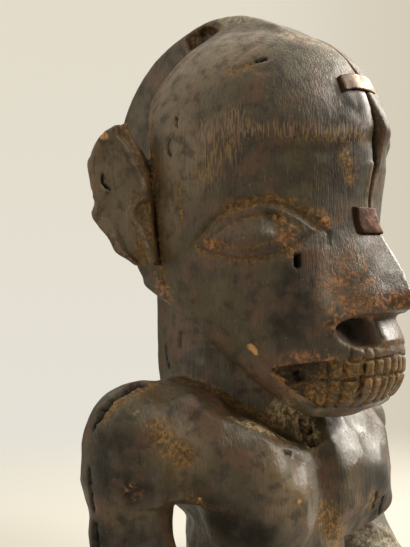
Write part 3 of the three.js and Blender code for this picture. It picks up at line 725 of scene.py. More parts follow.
# %% Marks
# Each: half its width, its depth, how ragged it is, and the points that its line runs through
CRACKS = {
    "shoulder": (2.2, 5.0, 1.0, ((-57, 8, 84.5), (-61, 7.5, 84), (-65.5, 7, 83), (-68.5, 9.5, 81),
                                 (-71.5, 10.5, 79), (-73.5, 11.5, 76))),
    "shoulder_end": (1.2, 3.5, 0.9, ((-73.5, 11.5, 76), (-74.5, 12.5, 72.5))),
    "outer_arm": (1.0, 4.0, 0.6, ((-76, 13.5, 59), (-77, 12.5, 55), (-77, 12, 51), (-75.5, 12.5, 46))),
    "arm_slot": (1.7, 6.0, 0.3, ((-75, 12, 40), (-75, 11, 37), (-75, 10.5, 33.5))),
    "crown_slot": (0.8, 2.0, 0.3, ((-32, -24, 198), (-30.5, -27, 199.5))),
    "temple_pit": (0.5, 1.4, 0.6, ((-44, 2, 180), (-44.5, 1, 176))),
    "temple_nick": (0.5, 1.2, 0.9, ((-45, 4, 172), (-45, 5, 169), (-45.5, 3, 166))),
    "ear_pit": (0.6, 1.6, 0.6, ((-55, 26, 160), (-55.5, 26, 157), (-53.5, 24, 155))),
    "nail": (1.35, 6.0, 0.1, ((-30.5, -40, 131), (-30.5, -40, 128))),
    "teeth": (0.7, 3.0, 0.6, ((-15.5, -57.5, 96), (-14, -56.5, 92), (-14.5, -56, 88), (-14, -54.5, 82))),
    "mouth_hole": (1.6, 3.0, 0.4, ((-27, -37, 90.5), (-26, -38, 89))),
    "neck": (0.8, 1.5, 0.6, ((-27, 19, 98), (-27, 18.5, 93), (-27.5, 17.5, 90))),
    "neck_nick": (0.6, 0.9, 0.5, ((-30.5, 10, 103.5), (-30, 10, 98))),
    "breast_pit": (0.7, 1.4, 0.9, ((-32.5, -36, 64), (-29.5, -36.5, 63))),
    "far_split": (0.6, 2.5, 0.6, ((21, -43, 43), (23, -42, 39), (26, -40, 35))),
    "far_split_low": (0.6, 2.5, 0.6, ((28, -41, 41), (32, -40, 36), (37, -37, 31))),
    "collar_hole": (1.3, 3.0, 0.9, ((-4, -26.5, 71), (-1, -27, 67))),
    "collar_nick": (1.0, 2.5, 0.9, ((1.5, -28, 63), (-3, -30, 61))),
}
DENTS = {
    "armpit_valley": (9.5, 3.8, 0.1,
                      ((-52, -12, 75), (-60, -14, 67.5), (-63, -14, 59), (-61, -14, 50))),
    "crown_groove": (1.8, 0.7, 0.4, ((-36, -18.5, 196), (-34.5, -23, 197.5))),
    "crown_line": (0.9, 0.35, 0.3, ((-35, -17, 199), (-27.5, -21.5, 205.5))),
    "crown_dents": (1.8, 0.4, 0.5, ((-34.5, -26, 195), (-33, -29, 194.5))),
    "temple_line": (0.9, 0.6, 0.4, ((-45, -0.5, 155), (-44, -0.5, 148), (-44, -1, 141))),
    "eye_box": (2.7, 1.6, 0.2, ((-35.5, -31, 144.5), (-34.5, -34, 144.5))),
    "eye_slot": (0.9, 0.8, 0.3, ((-42, -25, 141), (-43, -25.5, 138))),
    "eye_corner": (0.9, 0.8, 0.4, ((-24, -43, 144), (-19.5, -46, 139), (-20, -46, 135))),
    "cheek_fold": (0.9, 0.6, 0.3,
                   ((-35, -23.5, 99.5), (-34.5, -24.5, 97.5), (-34, -27.5, 94.5), (-33, -30, 93))),
    "breast_line": (0.8, 0.5, 0.4, ((-47.5, -28, 60.5), (-45.5, -30, 59))),
    "far_arm": (4.0, 1.2, 1.0, ((52, -20.5, 19), (54.5, -26, 17.5), (61.5, -30.5, 16.5))),
    "collar": (3.5, 1.4, 1.0, ((-12, -25.5, 75), (-5, -26.5, 71), (0, -27, 66))),
    "nape": (1.5, 0.8, 0.5, ((-37, 14, 124), (-41, 6, 119))),
}
CHIPS = {
    "ear_top": (1.7, 0.6, 0.6, ((-55.5, 25, 174),)),
    "eye_chip": (1.1, 0.4, 0.3, ((-35, -33, 144),)),
    "cheek": (1.3, 0.6, 0.8, ((-35, -23.5, 99.5), (-34.5, -25, 98))),
    "mouth_corner": (0.9, 0.5, 0.4, ((-31, -32, 89.5), (-29.5, -33.5, 88))),
    "breast_dot": (0.9, 0.2, 0.2, ((-31.5, -41.5, 47.5),)),
    "under_arm": (0.8, 0.3, 0.8, ((-55, -16.5, 48.5),)),
}


# %% Lines over the skin
def filled(line, spacing):
    """A bent line with points added, so that its steps are no longer than the spacing."""
    line = np.array(line, float)
    pieces = [line[:1]]
    for a, b in zip(line[:-1], line[1:]):
        count = max(int(np.linalg.norm(b - a) / spacing), 1)
        pieces.append(a + (b - a) * (np.arange(1, count + 1) / count)[:, None])
    return np.concatenate(pieces)


def on_skin(lines, spacing=2.0):
    """Bent lines filled up to the spacing and drawn, all together, onto the skin."""
    lines = [filled(line, spacing) for line in lines]
    p = np.concatenate(lines)
    for _ in range(5):
        g = slope(carving, p, 0.5)
        p = p - g * (carving(*p.T) / np.maximum((g * g).sum(1), 0.3))[:, None]
    return np.split(p, np.cumsum([len(line) for line in lines])[:-1])


# %% Distance to a mark
def distance_to_line(p, line):
    """Distance to a bent line: the least over its straight stretches."""
    if len(line) == 1:
        return np.linalg.norm(p - line[0], axis=1)
    least = np.full(len(p), np.inf)
    for a, b in zip(line[:-1], line[1:]):
        t = np.clip((p - a) @ (b - a) / ((b - a) @ (b - a) + 1e-9), 0, 1)
        least = np.minimum(least, np.linalg.norm(p - a - t[:, None] * (b - a), axis=1))
    return least


def close_to(p, line, reach):
    """The points in the box round a line, widened by its reach."""
    return np.flatnonzero(((p > line.min(0) - reach) & (p < line.max(0) + reach)).all(1))


def marked(p, marks):
    """Yields each mark's depth, the points near it, and 1 on its line to 0 at its ragged edge."""
    lines = on_skin([mark[3] for mark in marks.values()])
    for number, (width, depth, ragged, _) in enumerate(marks.values()):
        line = lines[number]
        near = close_to(p, line, width * (1 + ragged) + 1)
        away = distance_to_line(p[near], line) / width
        away = away + ragged * 0.5 * rough(p[near], max(width, 1.5) * 1.3, 200 + number, 2)
        yield depth, near, np.clip(1 - away, 0, 1)


# %% Facets
FACET_SIZE = 13.0
FACET_REACH = 0.62 * FACET_SIZE
FACET_ROUND = 24.0


def to_nearest_middle(p, size, seed):
    """Distance to the nearest of a lattice of shaken points."""
    shake = np.random.default_rng(seed).uniform(0.1, 0.9, (LATTICE,) * 3 + (3,))
    q = p / size
    corner = np.floor(q).astype(int)
    least = np.full(len(p), 9.0)
    for offset in np.ndindex(3, 3, 3):
        cell = corner + np.array(offset) - 1
        centre = cell + shake[tuple((cell % LATTICE).T)]
        least = np.minimum(least, ((q - centre) ** 2).sum(1))
    return np.sqrt(least) * size


def blade_cuts(p):
    """Depth of flat blade cuts on a round form of radius R: (reach^2 - r^2) / 2R inside each."""
    r = to_nearest_middle(p, FACET_SIZE, 5)
    return np.maximum(FACET_REACH ** 2 - r ** 2, 0) / (2 * FACET_ROUND)


# %% Cut the marks
# Waves of the hand-worked skin: how deep, how long, and the seed of each
WAVES = ((0.30, 24, 11), (0.18, 9, 12), (0.07, 3, 13))
CUTS_ON_HEAD, CUTS_ON_BODY = 0.15, 0.70
STEEP_CRACK, SOFT_DENT, STEEP_CHIP = 1.6, 1.0, 2.0

on_body = ease(98, 88, points[:, 2])
depth_cut = sum(depth * noise(points, size, seed) for depth, size, seed in WAVES)
depth_cut += (CUTS_ON_HEAD + (CUTS_ON_BODY - CUTS_ON_HEAD) * on_body) * (blade_cuts(points) - 0.5)
for marks, roundness in ((CRACKS, STEEP_CRACK), (DENTS, SOFT_DENT), (CHIPS, STEEP_CHIP)):
    for depth, near, strength in marked(points, marks):
        depth_cut[near] += depth * np.minimum(strength * roundness, 1)
points = points - outward * depth_cut[:, None]
points[:, 2] = np.maximum(points[:, 2], 0)
print(f"cut up to {depth_cut.max():.1f} mm deep")

# %% [markdown]
# ## A mesh of the right weight
# The even net spends as many faces on a flat cheek as on a tooth. Decimate takes points away where
# the skin is nearly flat, so the faces end up where the carving is.

# %% Mesh
MOST_FACES = 196000


def new_mesh(name, vertices, *face_groups):
    """A smooth-shaded mesh object from numpy arrays in millimetres."""
    faces = [face for group in face_groups for face in group.tolist()]
    data = bpy.data.meshes.new(name)
    data.from_pydata((vertices * MM).tolist(), [], faces)
    data.polygons.foreach_set("use_smooth", np.ones(len(data.polygons), bool))
    piece = bpy.data.objects.new(name, data)
    bpy.context.scene.collection.objects.link(piece)
    return piece


def ring_quads(rings, around):
    """The faces between neighbouring rings of points: a point, the one after it, and theirs beyond."""
    index = np.arange(rings * around).reshape(rings, around)
    after = np.roll(index, -1, 1)
    return np.stack([index[:-1], after[:-1], after[1:], index[1:]], -1).reshape(-1, 4)


def applied(piece):
    """The piece with its modifiers worked into its mesh."""
    graph = bpy.context.evaluated_depsgraph_get()
    finished = bpy.data.meshes.new_from_object(piece.evaluated_get(graph))
    piece.modifiers.clear()
    piece.data = finished
    return piece


bust = new_mesh("bust_wood", points, quads)
triangles = 2 * len(quads)
if triangles > MOST_FACES:
    thinning = bust.modifiers.new("thinning", "DECIMATE")
    thinning.ratio = MOST_FACES / triangles
    applied(bust)
print(f"bust: {len(bust.data.polygons)} faces")
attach(bust, "root")
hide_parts("carved_bust")

# %% [markdown]
# ## Where dirt and wear go
# Dirt stays in hollows and hands wear the edges. The distance formula knows both: a little way
# out along the normal a hollow is nearer to wood than that way, and a little way in an edge is
# nearer to air. A point at the bottom of a mark lies below the uncut skin, so a mark's own place
# is looked up from the point brought back out to that skin.

# %% Dirt and wear
HOLLOW_STEPS = (1.2, 3.5)
EDGE_STEP = 2.0


def coordinates(piece):
    """The places of a piece's points, in millimetres."""
    flat = np.zeros(3 * len(piece.data.vertices))
    piece.data.vertices.foreach_get("co", flat)
    return flat.reshape(-1, 3) / MM


def keep(piece, name, values):
    """Stores one number a point, from 0 to 1, for the material."""
    attribute = piece.data.attributes.new(name, "FLOAT", "POINT")
    attribute.data.foreach_set("value", np.clip(values, 0, 1).astype(np.float32))
    print(f"{name}: mean {np.clip(values, 0, 1).mean():.3f}")


p = coordinates(bust)
x, y, z = p.T
normal = slope(carving, p, 0.5)
normal /= np.maximum(np.linalg.norm(normal, axis=1), 1e-6)[:, None]
below = carving(x, y, z)
uncut = p - normal * below[:, None]
print(f"deepest point: {-below.min():.1f} mm below the uncut skin")

# %% Hollows and edges
hollow = 0
for step in HOLLOW_STEPS:
    closed_in = 1 - (carving(*(p + normal * step).T) - below) / step
    hollow = hollow + np.clip(closed_in, 0, 1) / len(HOLLOW_STEPS)
edge = 1 + (carving(*(p - normal * EDGE_STEP).T) - below) / EDGE_STEP
edge = 2.2 * np.clip(edge, 0, 1)

# %% Deep and dark places
# Painted shade: sunk darkens the bottom of the crack, the nostrils, the mouth's hollow and the cracks among
# the marks, where shade falls.
whole = skull(x, y, z)
in_crack = (np.abs(x) < 12) & (z > 146) & (y < 5)
in_nostril = (np.abs(z - 106.5) < 6.5) & (y < -42)
in_mouth = (z > 80) & (z < 96) & (y < -28) & (half_space(x, y, z, JAW_POINT, JAW_NORMAL) < -4)
beside = np.abs(x - curve(z, *CRACK_X)) - 0.5 * curve(z, *CRACK_WIDTH)
mouth_corner = ease(-12, -20, x)
sunk = ease(0.2, -1.2, whole) * ease(1.8, 0.9, beside) * in_crack
sunk = np.maximum(sunk, 0.7 * ease(-1, -7, np.minimum(whole, nose(x, y, z))) * in_nostril)
sunk = np.maximum(sunk, (0.45 + 0.4 * mouth_corner) * ease(-1.5, -4.5, whole) * in_mouth)
for depth, near, strength in marked(uncut, CRACKS):
    sunk[near] = np.maximum(sunk[near], ease(0, 0.15, strength) * min(depth / 1.5, 1))

# %% [markdown]
# The stains that follow no form are soft bands, each along a line placed as the marks are: ochre in
# the creases of the chest and round the eye, scraped red wood along the brow, bare brown patches on
# the nose, pale dust on the ledges, grey weathered wood on the far arm, and a polish where the figure
# is touched. Painted light, painted shade and a painted grey sheen on the tops of crest and dome are
# laid as such bands too. All of it is kept on the points, one number a point for each kind, for the
# material to read.

# %% Stains, painted light and painted shade
# Each: half the width of the band, and the points that its line runs through
OCHRE = {
    "ear_fold": (3.5, ((-50, 14.5, 152), (-50.5, 15.5, 149))),
    "ear_foot": (3.0, ((-50, 14, 139), (-50, 13, 136), (-50, 11, 132))),
    "nape": (2.5, ((-37, 14, 124.5), (-40, 8, 120))),
    "neck_foot": (4.0, ((-38, 9, 86), (-35, -2, 83), (-31, -9, 79), (-27, -14, 76), (-19, -21, 73),
                        (-14, -24, 70))),
    "neck_knob": (3.0, ((-36, 14, 87), (-36, 10, 86))),
    "shoulder_crack": (4.5, ((-53, 6, 85), (-59, 5, 84), (-66, 4, 83), (-70, 7, 80), (-74, 9, 77))),
    "valley": (7.0, ((-67, -7, 73), (-64, -11, 68), (-60, -13, 64))),
    "under_arm": (3.0, ((-56, -14, 48), (-50, -16, 46))),
    "temple_line": (1.1, ((-45, -0.5, 156), (-44, -0.5, 148), (-44, -1, 141))),
    "eye_inner": (5.0, ((-33.5, -36, 144), (-33.5, -36.5, 140), (-33, -37.5, 136.5), (-31.5, -37.5, 132.5))),
    "eye_outer": (3.2, ((-44, -10.5, 136), (-43, -16, 134.5))),
    "eye_above": (3.4, ((-41.5, -16, 146), (-38.5, -24, 149), (-35, -31.5, 150.5), (-30, -38.5, 149),
                        (-24.5, -43, 145.5), (-20, -45.5, 143))),
    "mouth": (3.0, ((-31, -32, 89.5), (-28.5, -35, 87), (-25, -39.5, 83.5), (-21, -45, 80.5))),
    "lips": (1.8, ((-32, -31, 92.5), (-28, -42, 94.5), (-22, -51, 95.5))),
    "collar": (6.0, ((-22, -24, 74), (-12, -26, 73), (-4, -27, 68), (1, -28, 63), (-8, -31, 60))),
    "crest_foot": (2.2, ((-9, 39, 191), (-29, 22, 192), (-29, 18.5, 196), (-28.5, 14, 200),
                         (-27.5, 9.5, 203.5), (-26, 6, 206))),
    "far_split": (5.0, ((18, -46, 41), (25, -45, 33))),
    "between": (9.0, ((-8, -34, 40), (0, -34, 34), (4, -35, 26))),
    "crown": (2.8, ((-37, -17, 195), (-34.5, -23, 197))),
    "brow": (5.0, ((-15.5, -50, 166), (-12, -51, 159))),
}
SCRAPED = {
    "brow_band": (4.6, ((-43, -18.5, 174), (-38, -31.5, 174), (-31, -41, 173), (-20, -49, 173),
                        (-8, -53, 173))),
    "rusty": (9.0, ((-42, -21, 177), (-42.5, -19, 168))),
    "temple": (8.0, ((-44, -12, 174), (-45, -12, 160))),
}
RUST = {
    "nose": (13.0, ((-16, -54, 125), (-18, -50, 118), (-17, -52, 112))),
    "nose_tip": (7.0, ((-12, -60, 117), (-4, -66, 114), (3, -66, 114))),
    "shoulder": (3.5, ((-76.5, -3.5, 54), (-76, -5, 52))),
    "eye_inner": (3.4, ((-33.5, -36, 142), (-33.5, -36.5, 138.5), (-32.5, -37.5, 134.5))),
    "eye_far": (2.4, ((-22, -44.5, 145), (-20.5, -45.5, 142))),
    "eye_outer": (2.8, ((-44, -10.5, 136), (-43, -15.5, 134.5))),
    "arm": (5.0, ((-76, 3, 30), (-74, -2, 22))),
    "nape": (6.0, ((-37, 14, 124), (-38, 10, 117))),
    "lip": (3.0, ((-30, -38, 96), (-24, -48, 97))),
}
DUST = {
    "chest": (4.5, ((-42, -22, 75), (-38, -29, 72.5), (-30, -31, 70), (-18, -30, 67))),
    "collar": (7.0, ((-24, -30, 77), (-12, -26, 74.5), (-5, -26.5, 71), (0, -27, 66))),
    "shoulder": (1.8, ((-63.5, -1.5, 83.5), (-63, -2, 82.5))),
    "shoulder_spots": (1.6, ((-71, -1.5, 78.5), (-71.5, -3, 76.5))),
}
# Grey weathered wood on the far arm; the bands on the crest's top and the dome's top are a painted grey
# sheen.
WEATHERED_AND_SHEEN = {
    "far_arm": (10.0, ((50, -19, 20), (54.5, -26, 18), (62, -31, 16))),
    "crest_top": (9.0, ((-6, 4, 221), (-4, -10, 218))),
    "dome_top": (7.0, ((-14, -26, 208), (-4, -34, 205))),
}
POLISH = {
    "near_breast": (22.0, ((-26, -45, 62), (-24, -46, 44))),
    "far_breast": (20.0, ((14, -32, 68), (18, -42, 59), (24, -46, 50))),
    "boss": (12.0, ((-5, -62, 104), (4, -62, 104))),
    "nose_ridge": (12.0, ((-3, -57, 138), (-4, -66, 122), (-4, -67, 113))),
    "crack_lips": (4.0, ((-3, -50, 192), (-2, -55, 183), (0, -57, 172), (5, -57, 165))),
    "chin": (8.0, ((-14, -58, 82), (4, -62, 82))),
    "crest": (12.0, ((-5, 0, 222), (-4, -12, 218))),
}
# Painted light: a lighter skin where the room's light falls brightest, on the ear, the dome, the temple, the
# side of the face, the neck, the shoulder, the deltoid and the near breast, and painted highlights on the
# teeth and the nose.
PAINTED_LIGHT = {
    "near_ear": (15.0, ((-56, 24, 168), (-55, 24, 155), (-52, 20, 142))),
    "dome": (24.0, ((-38, 8, 190), (-30, -10, 204))),
    "temple": (16.0, ((-45, 0, 175), (-45, -2, 160))),
    "shoulder": (11.0, ((-60, -12, 70), (-58, -14, 64))),
    "breast": (16.0, ((-36, -34, 58), (-34, -36, 48))),
    "face": (9.0, ((-43, 6, 150), (-42, 6, 136))),
    "deltoid": (10.0, ((-76, 0, 47), (-74, -5, 42))),
    "neck": (10.0, ((-24, -18, 88), (-16, -24, 82))),
    "teeth": (10.0, ((-12, -59, 92), (-2, -62, 90))),
    "nose": (12.0, ((-17, -49, 124), (-18, -49, 112))),
}
# Painted shade: a near black where shade falls, on the arm, the shoulder's outer side, the forehead beside
# the crack, the cheek, under the nose, in the mouth, on the lower far breast and in the armpit.
PAINTED_SHADE = {
    "near_arm": (18.0, ((-76, 6, 33), (-72, -4, 32), (-73, -3, 24), (-68, -14, 12))),
    "shoulder": (16.0, ((-76, 3, 64), (-76, 0, 55))),
    "brow": (13.0, ((-12, -52, 184), (-16.5, -51, 178), (-13.5, -51, 168), (-14.5, -49, 157))),
    "cheek": (12.0, ((-31, -40, 122), (-31, -38, 108))),
    "nostril": (7.0, ((-14, -50, 105), (-22, -44, 105))),
    "mouth": (7.0, ((-30, -34, 91), (-22, -45, 88))),
    "far_breast": (17.0, ((22, -48, 46), (32, -42, 36))),
    "armpit": (12.0, ((-50, -16, 44), (-40, -30, 36))),
}

BANDS = {
    "scraped": SCRAPED, "rust": RUST, "dust": DUST, "weathered_and_sheen": WEATHERED_AND_SHEEN, "polish": POLISH,
    "painted_light": PAINTED_LIGHT, "painted_shade": PAINTED_SHADE,
}


# %% Painting along a line
def painted(p, stains):
    """The strongest of several soft bands, each 1 on its line and 0 at its width."""
    strength = np.zeros(len(p))
    lines = on_skin([line for _, line in stains.values()], 4.0)
    for (width, _), line in zip(stains.values(), lines):
        near = close_to(p, line, width)
        strength[near] = np.maximum(strength[near], ease(1, 0.2, distance_to_line(p[near], line) / width))
    return strength


# %% Dirt that follows the forms, and all that is kept
inside, level = almond(x, y, z)
on_eye = (np.abs(z - EYE_HEIGHT) < 20) & (y < 5)
lids = 0.7 * np.maximum(bump(inside + 0.3, 1.3), bump(inside - 4.4, 0.8)) * on_eye
side = np.abs(x)
behind_edge = y - curve(z, *FACE_EDGE)
behind_ear = 0.7 * ease(0, 1.5, behind_edge) * ease(13, 8, behind_edge)
ear_fold = np.maximum(bump(behind_edge + 0.6, 1.9), behind_ear)
ear_fold *= ease(32, 36, side) * ease(51, 49, side) * ease(122, 126, z) * ease(200, 190, z)
face_rim = 0.6 * bump(behind_edge + 2.2, 1.5) * ease(33, 35, side) * ease(48, 46, side)
face_rim *= ease(122, 126, z) * ease(200, 192, z)
between_teeth = in_mouth * ease(0.4, -0.8, whole)
in_hollows = 0.6 * ease(0.25, 0.8, np.clip(1.6 * hollow, 0, 1))
fresh = np.zeros(len(p))
for depth, near, strength in marked(uncut, CHIPS):
    fresh[near] = np.maximum(fresh[near], ease(0.02, 0.3, strength))
chip_centre, chip_radii = CREST_CHIP
in_chip = -ellipsoid(x, y, z, chip_centre, np.add(chip_radii, 1.5)) / 1.2 * (y < 24.5)
# Among what is kept, sunk is painted shade, and the bands add painted light, painted shade and a painted
# grey sheen to the stains.
KEPT = {
    "edge": edge, "sunk": sunk, "fresh": fresh, "raw": in_chip,
    "earth": np.max([painted(uncut, OCHRE), ear_fold, face_rim, between_teeth, lids, in_hollows], 0),
}
KEPT.update({name: painted(uncut, bands) for name, bands in BANDS.items()})
for name, values in KEPT.items():
    keep(bust, name, values)

# %% [markdown]
# ## The repair strips
# Both strips are thin sheet, hammered over the crack, with their ends driven into the wood. Each
# is a flat section carried along a path over the skin: the path's height falls away in a quarter
# circle at both ends.

# %% Repair strips
STRIP_THICKNESS = 1.0
STRIP_GAP = 0.35
END_ROUND = 2.4
ALONG_STRIP = 64
ROUND_STRIP = 28
FOREHEAD_CENTRE = (-8, 150)


def reach_out(field, origin, direction, limit=90):
    """How far each ray from inside runs to the skin, by halving the distance again and again."""
    inside, outside = np.zeros(len(direction)), np.full(len(direction), float(limit))
    for _ in range(40):
        middle = (inside + outside) / 2
        here = field(*(origin + direction * middle[:, None]).T.astype(np.float32)) > 0
        outside, inside = np.where(here, middle, outside), np.where(here, inside, middle)
    return inside


def on_forehead(x, degrees, offset):
    """The skin over the forehead at a distance from the middle and an angle above the level."""
    angle = np.radians(degrees)
    direction = np.stack([0 * x, -np.cos(angle), np.sin(angle)], 1)
    origin = np.stack([x, 0 * x + FOREHEAD_CENTRE[0], 0 * x + FOREHEAD_CENTRE[1]], 1)
    return origin + direction * (reach_out(skull, origin, direction) + offset)[:, None]


def on_bridge(x, z, offset):
    """The skin over the bridge of the nose at a distance from the middle and a height."""
    origin = np.stack([x, 0 * x - 30, z], 1)
    direction = np.tile((0.0, -1.0, 0.0), (len(x), 1))

    def bridge(*q):
        """The forehead and the nose, grown together."""
        return joined(skull(*q), nose(*q), 1.5)

    return origin + direction * (reach_out(bridge, origin, direction) + offset)[:, None]


# %% A squared section
def signed_power(value, power):
    """The value's size to a power, with its sign kept: a low power squares a circle's corners."""
    return np.sign(value) * np.abs(value) ** power


# %% Staples
def staple(name, place, across, heights, seed):
    """A rounded flat section carried across the skin, its ends turned down into the wood."""
    x = np.linspace(*across, ALONG_STRIP).repeat(ROUND_STRIP)
    turn = np.tile(np.linspace(0, 2 * np.pi, ROUND_STRIP, endpoint=False), ALONG_STRIP)
    flat = signed_power(np.cos(turn), 0.25)
    thick = signed_power(np.sin(turn), 0.6)
    from_end = np.clip(np.minimum(x - across[0], across[1] - x) / END_ROUND, 0, 1)
    dive = END_ROUND * (1 - np.sqrt(np.maximum(1 - (1 - from_end) ** 2, 0)))
    level = (heights[0] + heights[1]) / 2 + (heights[1] - heights[0]) / 2 * flat
    p = np.stack([x * 4, level * 4, 0 * level], 1)
    beaten = 0.18 * noise(p, 14, seed) + 0.05 * noise(p, 5, seed + 1)
    lift = STRIP_GAP + STRIP_THICKNESS * (0.5 + 0.5 * thick) + beaten - 1.6 * dive
    wander = 0.35 * noise(np.stack([x, level * 9, level], 1), 3, seed + 2)
    skin_points = place(x, level + wander * np.abs(flat), lift)
    first, last = skin_points[:ROUND_STRIP], skin_points[-ROUND_STRIP:]
    vertices = np.concatenate([skin_points, first.mean(0)[None], last.mean(0)[None]])
    count, ring = len(skin_points), np.arange(ROUND_STRIP)
    after = np.roll(ring, -1)
    last_ring = count - ROUND_STRIP
    start_fan = np.stack([0 * ring + count, after, ring], 1)
    end_fan = np.stack([0 * ring + count + 1, last_ring + ring, last_ring + after], 1)
    piece = new_mesh(name, vertices, ring_quads(ALONG_STRIP, ROUND_STRIP), start_fan, end_fan)
    print(f"{name}: {len(piece.data.polygons)} faces")
    return piece


# %% The two strips
crown = staple("crown_band", on_forehead, (-15.5, 7.5), (43.2, 48.8), 301)
brow = staple("brow_band", on_bridge, (-9.5, 9.5), (139.3, 148.6), 311)
for band, node, slot in ((crown, "crown_strip", "copper_strip"), (brow, "brow_strip", "dark_strip")):
    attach(band, "root")
    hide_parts(node)

# %% [markdown]
# ## Materials
# A material is a network of nodes: patterns and the kept marks go in, and a colour, a roughness and
# a bump come out. Colours are picked as they look on a screen and turned to light's own scale by
# one function. One more function adds any node, sets it and links it. Old skins are built up in
# layers, so the rest is a table that says what lies on what, and a loop that lays it.

# %% Colours and nodes
def linear(code):
    """A screen colour such as 8a6a3c as linear light: ((c + 0.055) / 1.055)^2.4."""
    parts = [int(code[i:i + 2], 16) / 255 for i in (0, 2, 4)]
    return [c / 12.92 if c <= 0.04045 else ((c + 0.055) / 1.055) ** 2.4 for c in parts] + [1]


def add(tree, kind, settings=None, **links):
    """Adds a node; a link is a socket or a value, by the input's name or place."""
    node = tree.nodes.new("ShaderNode" + kind)
    for key, value in (settings or {}).items():
        setattr(node, key, value)
    for key, value in links.items():
        socket = node.inputs[int(key[1:])] if key[0] == "i" and key[1:].isdigit() else node.inputs[key]
        if isinstance(value, bpy.types.NodeSocket):
            tree.links.new(value, socket)
        else:
            socket.default_value = value
    return node


def new_material(name):
    """A new material with its network and its surface shader."""
    material = bpy.data.materials.new(name)
    material.use_nodes = True
    return material, material.node_tree, material.node_tree.nodes["Principled BSDF"]


# %% Patterns and shares
def patterns(tree, table):
    """Noise by name: the size of a bump in mm, detail, roughness, distortion, stretch upwards."""
    place = add(tree, "TexCoord").outputs["Object"]
    values = {"place": place}
    for name, (size, detail, roughness, distortion, stretch) in table.items():
        drawn_out = add(tree, "Mapping", None, Vector=place, Scale=(1, 1, stretch)).outputs[0]
        values[name] = add(
            tree, "TexNoise", None, Vector=drawn_out,
            Scale=1000 / size, Detail=detail, Roughness=roughness, Distortion=distortion,
        ).outputs[0]
    return values


def share(tree, values, *factors):
    """A product of values by name, each first stretched: (name, low, high, at low, at high)."""
    total = 1.0
    for name, *span in factors:
        value = values[name]
        if span:
            low, high, at_low, at_high = (span + [0, 1])[:4]
            value = add(
                tree, "MapRange", {"interpolation_type": "SMOOTHSTEP"},
                i0=value, i1=low, i2=high, i3=at_low, i4=at_high,
            ).outputs[0]
        total = add(tree, "Math", {"operation": "MULTIPLY"}, i0=total, i1=value).outputs[0]
    return total


def weighted_sum(tree, start, *terms):
    """A start plus each value times its weight."""
    total = start
    for value, weight in terms:
        total = add(tree, "Math", {"operation": "MULTIPLY_ADD"}, i0=value, i1=weight, i2=total).outputs[0]
    return total


def largest(tree, *values):
    """The largest of several values, or 0."""
    total = 0.0
    for value in values:
        total = add(tree, "Math", {"operation": "MAXIMUM"}, i0=value, i1=total).outputs[0]
    return total


# %% Layers
def paint(tree, values, colours):
    """One colour, or two that a pattern parts: (first, second, (name, low, high))."""
    if isinstance(colours, str):
        return linear(colours)
    first, second, pattern = colours
    return add(
        tree, "Mix", {"data_type": "RGBA"},
        i0=share(tree, values, pattern), i6=linear(first), i7=linear(second),
    ).outputs[2]


def layered(tree, values, ground, layers):
    """Layers over a ground colour, each as strong as its strength times its share of the place."""
    colour = paint(tree, values, ground)
    shares = {}
    for name, (colours, strength, *factors) in layers.items():
        shares[name] = share(tree, values, *factors)
        cover = add(tree, "Math", {"operation": "MULTIPLY"}, i0=shares[name], i1=strength).outputs[0]
        colour = add(
            tree, "Mix", {"data_type": "RGBA"}, i0=cover, i6=colour, i7=paint(tree, values, colours)
        ).outputs[2]
    return colour, shares


# %% [markdown]
# ### The wood
# Hardwood darkened by oil, resin and handling: a dark brown skin with a half gloss, crusty where the
# oil dried thick and smooth where hands polish it. Reddish wood comes through on worn edges, ochre
# earth sits in the hollows, dust dulls what faces up, and grey weathered wood lies on the far arm.
# Painted light lifts the skin where the room's light falls brightest, painted shade darkens it where
# shade falls, and a painted grey sheen lies on the tops of crest and dome. The cracks, the nostrils and
# the mouth's hollow get painted shade, and chips show dark or pale bare wood.

# %% What lies on the wood
# Each: the size of a bump in mm, detail, roughness, distortion, and the stretch along the grain
WOOD_PATTERNS = {
    "cloud": (34, 3, 0.55, 0, 1), "patch": (12, 4, 0.55, 0, 1), "stain": (5, 5, 0.6, 0, 1),
    "crumb": (3, 4, 0.7, 0.4, 1), "fine": (1.4, 4, 0.65, 0, 1), "grit": (0.9, 2, 0.6, 0, 1),
    "streak": (1.1, 3, 0.6, 0, 0.12), "scratch": (0.55, 2, 0.6, 0, 0.12),
}
OILED_WOOD = ("352c17", "43361c", ("cloud", 0.40, 0.60))
